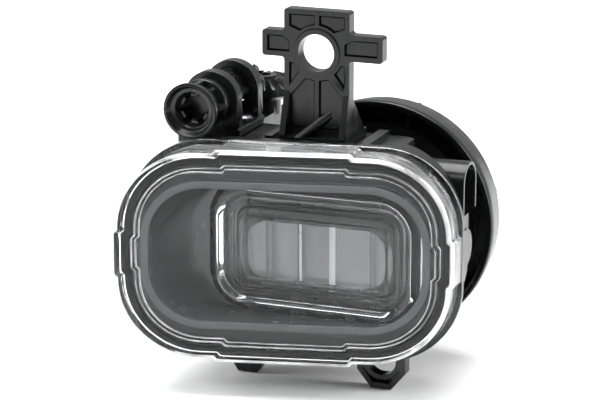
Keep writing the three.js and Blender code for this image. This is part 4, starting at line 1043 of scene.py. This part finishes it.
@dataclass
class BracketUnit:
    """The upper bracket: a ribbed plate with the mounting eye, two rails, gussets and a foot."""

    thick: float = 4.4
    pocket: float = 2.0
    half: float = 11.3
    rise: float = 14.0
    arm_left: float = 19.0
    arm_right: float = 22.6
    arm_top: float = 6.6
    arm_bottom: float = -2.1
    seat: float = -30.2
    rim: float = 1.7
    rib: float = 0.75
    moat: float = 0.55
    pad: float = 0.9
    boss: float = 8.05
    bore: float = 6.2
    rail: float = 4.9
    rail_wide: float = 2.0
    foot_back: float = 13.0
    foot_thick: float = 2.5
    gusset_wide: float = 2.2
    screw_x: float = 5.2
    screw_y: float = 8.5
    brace_radius: float = 1.7

    def pockets(self, side: int, reach: float) -> list[list[Flat]]:
        """The outlines of the pockets on one side of the plate.

        Args:
            side: 1 for the right, -1 for the left.
            reach: How far the arm goes on that side.
        """
        edge, top, far = self.half - self.rim, self.rise - self.rim, reach - self.rim
        ring, start, web = self.boss + 0.9, self.boss + 1.5, self.rib
        low, high = self.arm_bottom + self.rim, self.arm_top - self.rim
        shapes = [
            [(web, top), *arc((0, 0), ring, 85, 49, 7), (edge, self.arm_top + 1.6), (edge, top)],
            [(start, low), (far, low), (far, high), (self.half + 0.6, high), (start, 3.3)],
            [(edge, self.arm_bottom - 1.5), *arc((0, 0), ring, -25, -49, 5), (edge, -11.6)],
            [(web, -ring - 0.3), (3.9, -ring + 0.4), (edge, -15.0), (edge, -25.6), (web, -25.6)]]
        return [mirrored(shape, side) for shape in shapes]

    def plate(self) -> Piece:
        """Draws the plate, a cross with pockets that each have a raised pad inside."""
        half, top, low = self.half, self.arm_top, self.arm_bottom
        cross = [
            (half, self.seat), (half, low), (self.arm_right, low), (self.arm_right, top),
            (half, top), (half, self.rise), (-half, self.rise), (-half, top),
            (-self.arm_left, top), (-self.arm_left, low), (-half, low), (-half, self.seat)]
        piece = slab("ribbed_bracket", rounded(cross, 1.0, 5), -self.thick, 0)
        floor = self.pocket - self.thick
        for side, reach in ((1, self.arm_right), (-1, self.arm_left)):
            for outline in self.pockets(side, reach):
                carve(piece, slab("pocket", outline, -self.thick - 2, floor))
                inner = shrunk(outline, self.moat)
                fuse(piece, slab("pad", inner, self.pad - self.thick, floor + 1))
        return piece

    def build(self) -> Piece:
        """Makes the bracket."""
        half, seat, thick, boss = self.half, self.seat, self.thick, self.boss
        piece = self.plate()
        fuse(piece, turn("boss", Axis.Y, (0, 0), [
            (boss - 0.5, -thick - 0.6), (boss - 0.12, -thick - 0.45), (boss, -thick - 0.1),
            (boss, -0.2)], 72))
        front = -thick - self.rail
        fuse(piece, block("foot", (-half, front, seat),
                          (half, self.foot_back, seat + self.foot_thick)))
        corners = [(0, -13), (-thick, -13), (front, seat + 3), (front, seat), (0, seat)]
        rail = rounded(corners, 0.6, 3)
        for near in (-half, half - self.rail_wide):
            fuse(piece, slab("rail", rail, near, near + self.rail_wide, Axis.X))
        gusset = [(-1, -16), (0, -16), (12, seat + 1), (-1, seat + 1)]
        for near in (-half, -self.gusset_wide / 2, half - self.gusset_wide):
            fuse(piece, slab("gusset", gusset, near, near + self.gusset_wide, Axis.X))
        fuse(piece, self.brace())
        carve(piece, pin(Axis.Y, (0, 0), self.bore, -20, 20, 72))
        for x in (-self.screw_x, self.screw_x):
            carve(piece, pin(Axis.Z, (x, self.screw_y), SCREW_HOLE, seat - 2, seat + 5))
        clean(piece)
        soften(piece, 0.22, 3)
        return dress(piece, Slot.BLACK, Body.LAMP, "top_bracket")

    def brace(self) -> Piece:
        """Draws the slanting round brace between the foot and the web."""
        start, end = Vector((-5.5, -7.8, self.seat + 1.4)), Vector((4.5, -2.0, -20.5))
        way = (end - start).normalized()
        across = way.orthogonal().normalized()
        up = way.cross(across)
        angles = [2 * math.pi * i / 24 for i in range(24)]
        rings = [[at + (across * math.cos(angle) + up * math.sin(angle)) * self.brace_radius
                  for angle in angles] for at in (start, end)]
        return loft("brace", rings)


@dataclass
class ShroudUnit:
    """The open-fronted shroud round the rear drum."""

    x: float = 8.5
    z: float = -64.5
    outer: float = 41.1
    inner: float = 38.9
    hole: float = 26.8
    rim: float = 31.6
    floor: float = 45.8
    back: float = 48.0
    ribs: int = 6
    rib_turn: float = 15.0
    rib_half: float = 0.7
    screw_ring: float = 29.5
    screw_angles: tuple[int, ...] = (90, 210, 330)

    def build(self) -> Piece:
        """Makes the shroud."""
        outer, inner, rim = self.outer, self.inner, self.rim
        floor, back = self.floor, self.back
        profile = [
            (self.hole, floor), (inner - 2.5, floor), (inner - 1.7, floor - 0.25),
            (inner - 1.15, floor - 0.9), (inner - 0.95, floor - 1.6), (inner - 0.4, rim + 3),
            (inner - 0.4, rim + 1.8), (inner - 0.3, rim + 1.6), (outer - 1.5, rim + 1.6),
            (outer - 1.3, rim + 1.4), (outer - 1.15, rim + 0.3), (outer - 0.9, rim + 0.05),
            (outer - 0.55, rim), (outer - 0.2, rim + 0.08), (outer, rim + 0.4),
            (outer, rim + 3.8), (outer - 0.15, rim + 4.2), (outer - 0.8, rim + 4.55),
            (outer - 0.95, rim + 4.9), (outer - 1.4, back - 3), (outer - 1.75, back - 1.7),
            (outer - 2.6, back - 0.6), (outer - 4, back), (self.hole, back)]
        piece = turn("round_shroud", Axis.Y, (self.x, self.z), profile, 128, True)
        middle = Matrix.Translation(Vector((self.x, 0, self.z)) * MM)
        for i in range(self.ribs):
            angle = math.radians(i * 360 / self.ribs + self.rib_turn)
            rib = block("rib", (-self.rib_half, rim + 5, inner - 6),
                        (self.rib_half, floor + 1, inner + 0.5))
            rib.data.transform(middle @ Matrix.Rotation(angle, 4, "Y"))
            fuse(piece, rib)
        for degrees in self.screw_angles:
            place = around((self.x, self.z), self.screw_ring, degrees)
            carve(piece, pin(Axis.Y, place, SCREW_HOLE, 40, 52))
        clean(piece)
        smooth(piece, 40)
        return dress(piece, Slot.BLACK, Body.LAMP, "rear_shroud")


@dataclass
class HoodUnit:
    """The half-pipe hood over the vent."""

    y: float = 15.6
    z: float = -44.0
    foot: float = -54.0
    outer: float = 7.0
    wall: float = 0.9
    start: float = 32.5
    mouth: float = 46.6
    drum: Flat = (8.5, -64.5)
    drum_radius: float = 26.8

    def arch(self, radius: float, foot: float) -> list[Flat]:
        """The hood's section at a radius, down to a foot, as pairs of Y and Z."""
        round_top = arc((self.y, self.z), radius, 0, 180, 28)
        return [(self.y + radius, foot), *round_top, (self.y - radius, foot)]

    def build(self) -> Piece:
        """Makes the hood."""
        whole = self.arch(self.outer, self.foot)
        bore = self.arch(self.outer - self.wall - 0.3, self.foot - 1)
        piece = slab("half_pipe_hood", whole, self.start, self.mouth, Axis.X)
        carve(piece, slab("bore", bore, self.start - 1, self.mouth + 1, Axis.X))
        carve(piece, pin(Axis.Y, self.drum, self.drum_radius, 0, 60, 96))
        clean(piece)
        soften(piece, 0.22, 2, 40)
        return dress(piece, Slot.BLACK, Body.LAMP, "vent_hood")


@dataclass
class AdjusterUnit:
    """The hand-turned screw with its flared end, and the cradle that carries it."""

    x: float = -36.6
    z: float = -18.2
    flare: float = 9.2
    front: float = -24.4
    ear: float = 9.6
    ear_thick: float = 4.3
    ear_front: float = -6.4
    ear_rear: float = 11.6
    left: float = -48.5
    right: float = -26.4
    seat: float = -30.2
    journal: float = 5.2
    shaft: float = 3.2
    shaft_end: float = 30.2
    lobes: int = 6
    lobe_ring: float = 4.4
    lobe: float = 1.3
    fin: float = 6.5
    collar_fin: float = 8.0
    fin_half: float = 0.8
    fin_core: float = 4.6
    base: float = 2.5
    ear_bore: float = 5.5
    recess: float = 7.2
    recess_deep: float = 1.2
    screw_x: Flat = (-45.5, -29.5)
    screw_y: float = 6.0

    def screw(self) -> Piece:
        """Draws the screw from its flared end back to the pinion's socket."""
        front, flare, journal, shaft = self.front, self.flare, self.journal, self.shaft
        end, middle = self.shaft_end, (self.x, self.z)
        profile = [
            (4.0, front + 11), (4.0, front + 4.6), (4.15, front + 4.4), (4.9, front + 4.4),
            (5.95, front + 2.1), (6.1, front + 2.0), (7.1, front + 2.0), (7.35, front + 1.8),
            (8.05, front + 0.25), (8.3, front), (8.95, front), (9.15, front + 0.12),
            (flare, front + 0.35), (flare, front + 1.4), (9.08, front + 1.8), (7.5, front + 6.6),
            (7.2, front + 7.05), (5.85, front + 7.55), (5.6, front + 7.9), (5.6, -13.5),
            (5.7, -13.4), (8.0, -13.4), (8.25, -13.15), (8.25, -10.85), (8.05, -10.6),
            (7.2, -10.3), (7.0, -10.1), (7.0, -6.95), (6.75, -6.7), (5.4, -6.7),
            (journal, -6.5), (journal, -1.75), (5.0, -1.55), (3.3, -1.15), (shaft, -1.0),
            (shaft, 10.6), (5.0, 12.9), (journal, 13.15), (journal, 16.2), (5.0, 16.4),
            (3.3, 16.85), (shaft, 17.0), (shaft, end - 0.3), (2.9, end), (2.2, end),
            (2.1, end - 0.2), (2.1, 22.4)]
        piece = turn("flared_screw", Axis.Y, middle, profile, 72)
        for i in range(self.lobes):
            place = around(middle, self.lobe_ring, i * 360 / self.lobes)
            carve(piece, pin(Axis.Y, place, self.lobe, front + 2, front + 10.9))
        self.add_fins(piece, self.collar_fin, front + 6, -13.2, self.fin_core)
        self.add_fins(piece, self.fin, -1.8, 11.3)
        clean(piece)
        smooth(piece, 42)
        return dress(piece, Slot.BLACK, Body.ADJUSTER, "adjuster_screw")

    def add_fins(self, piece: Piece, reach: float, near: float, far: float,
                 core: float = 0.0) -> None:
        """Adds an upright and a level fin along part of the screw.

        Args:
            piece: The screw.
            reach: How far out they go.
            near: Where they start along the screw.
            far: Where they end.
            core: Radius left clear in the middle.
        """
        thin = self.fin_half
        for tall, wide in ((reach, thin), (thin, reach)):
            fin = block("fin", (self.x - wide, near, self.z - tall),
                        (self.x + wide, far, self.z + tall))
            if core:
                carve(fin, pin(Axis.Y, (self.x, self.z), core, -40, 0, 32))
            fuse(piece, fin)

    def cradle(self) -> Piece:
        """Draws the cradle: a base plate and two round-topped ears with bores."""
        seat, middle, thick = self.seat, (self.x, self.z), self.ear_thick
        piece = block("cradle_moulding", (self.left, self.ear_front, seat),
                      (self.right, self.ear_rear + thick, seat + self.base))
        outline = [(self.x + self.ear, seat), *arc(middle, self.ear, 0, 180, 48),
                   (self.x - self.ear, seat)]
        for near in (self.ear_front, self.ear_rear):
            fuse(piece, slab("ear", outline, near, near + thick))
            carve(piece, pin(Axis.Y, middle, self.ear_bore, near - 1, near + thick + 1, 64))
        carve(piece, pin(Axis.Y, middle, self.recess, self.ear_rear - 1,
                         self.ear_rear + self.recess_deep, 64))
        for x in self.screw_x:
            carve(piece, pin(Axis.Z, (x, self.screw_y), SCREW_HOLE, seat - 2, seat + 4))
        clean(piece)
        soften(piece, 0.35, 3)
        return dress(piece, Slot.BLACK, Body.LAMP, "adjuster_cradle")

    def build(self) -> None:
        """Makes both pieces."""
        self.screw()
        self.cradle()


# ---------------------------------------------------------------------------- studio


@dataclass
class Studio:
    """A pale floor, soft lamps and the camera."""

    azimuth: float = 21.0
    elevation: float = 15.5
    distance: float = 858.0
    lens: float = 156.5
    target: tuple[float, float, float] = (-6.126, -4.4, -50.124)
    floor_size: float = 30000.0
    floor_drop: float = 0.3
    front_light: float = 0.17
    back_light: float = 0.6
    lamps: tuple[tuple[str, tuple[float, ...], Flat, float], ...] = (
        ("overhead", (-100, 50, 1000), (1100, 800), 26),
        ("front_box", (-150, -1000, 800), (1200, 300), 4),
        ("left_box", (-900, -350, 450), (300, 800), 9),
        ("right_box", (850, 150, 300), (300, 800), 9))

    def floor(self) -> None:
        """Lays a wide pale floor just under the lamp."""
        loosen()
        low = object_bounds()[0][2] - self.floor_drop * MM
        bpy.ops.mesh.primitive_plane_add(size=self.floor_size * MM, location=(0, 0, low))
        floor = bpy.context.object
        floor.name = "studio_floor"
        recipe = Recipe("studio_white")
        cloud = recipe.noise(3.0)
        recipe.shade(cloud.outputs[0], (0.84, 0.84, 0.845), (0.86, 0.86, 0.865))
        recipe.set(Roughness=0.9, Specular_IOR_Level=0.1)
        floor.data.materials.append(recipe.material)
        floor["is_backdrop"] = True

    def lamp(self, name: str, place: Sequence[float], size: Flat, power: float) -> None:
        """Hangs a soft area lamp that faces the middle of the fog light.

        Args:
            name: The lamp's name.
            place: Where it hangs, in millimetres.
            size: Its width and height in millimetres.
            power: Its power in watts.
        """
        data = bpy.data.lights.new(name, "AREA")
        data.shape = "RECTANGLE"
        data.size, data.size_y = (side * MM for side in size)
        data.energy = power
        lamp = bpy.data.objects.new(name, data)
        lamp.location = Vector(place) * MM
        way = Vector(self.target) - Vector(place)
        lamp.rotation_euler = way.to_track_quat("-Z", "Y").to_euler()
        bpy.context.scene.collection.objects.link(lamp)

    def camera(self) -> None:
        """Places the camera in front, a little above and to the right."""
        round_, up = math.radians(self.azimuth), math.radians(self.elevation)
        way = Vector((math.sin(round_) * math.cos(up), -math.cos(round_) * math.cos(up),
                      math.sin(up)))
        camera = bpy.data.objects.new("camera", bpy.data.cameras.new("camera"))
        camera.data.lens = self.lens
        camera.data.clip_start, camera.data.clip_end = 0.05, 60
        camera.location = (Vector(self.target) + way * self.distance) * MM
        camera.rotation_euler = (-way).to_track_quat("-Z", "Y").to_euler()
        bpy.context.scene.collection.objects.link(camera)
        bpy.context.scene.camera = camera

    def room(self) -> None:
        """Makes the room: white to the camera, a dim light in front and a brighter one behind."""
        world = bpy.data.worlds.new("room")
        world.use_nodes = True
        tree = world.node_tree
        place = tree.nodes.new("ShaderNodeTexCoord")
        split = tree.nodes.new("ShaderNodeSeparateXYZ")
        tree.links.new(place.outputs["Generated"], split.inputs[0])
        depth = tree.nodes.new("ShaderNodeMapRange")
        levels = {"From Min": 0.0, "From Max": 0.35,
                  "To Min": self.front_light, "To Max": self.back_light}
        for name, value in levels.items():
            depth.inputs[name].default_value = value
        tree.links.new(split.outputs["Y"], depth.inputs["Value"])
        path = tree.nodes.new("ShaderNodeLightPath")
        span = tree.nodes.new("ShaderNodeMapRange")
        tree.links.new(depth.outputs[0], span.inputs["To Min"])
        tree.links.new(path.outputs["Is Camera Ray"], span.inputs["Value"])
        tree.nodes["Background"].inputs[0].default_value = (1, 1, 1, 1)
        tree.links.new(span.outputs[0], tree.nodes["Background"].inputs[1])
        bpy.context.scene.world = world

    def build(self) -> None:
        """Sets up the whole studio."""
        bpy.context.scene.view_settings.view_transform = "Standard"
        self.camera()
        self.floor()
        self.room()
        for row in self.lamps:
            self.lamp(*row)


def small_pieces() -> None:
    """Rounds the edges of the pieces that keep the frame's shape."""
    bodies = frame["record"]["behaviour"]["bodies"]
    node_body = {node: Body(body) for body, nodes in bodies.items() for node in nodes}
    for node, width in EDGE_WIDTHS.items():
        refine(node, node_body[node], width)
    for node, slot in NODE_SLOTS.items():
        obj = frame["nodes"][node]
        obj.data.materials.clear()
        obj.data.materials.append(MATERIALS[slot])


def main() -> None:
    """Builds the studio and every sub-assembly."""
    logging.basicConfig(level=logging.INFO, format="%(message)s")
    Studio().build()
    face = SweptFace()
    small_pieces()
    LensUnit(face).build()
    BezelUnit(face).build()
    OpticUnit(face).build()
    BracketUnit().build()
    ShroudUnit().build()
    HoodUnit().build()
    AdjusterUnit().build()


if __name__ == "__main__":
    main()
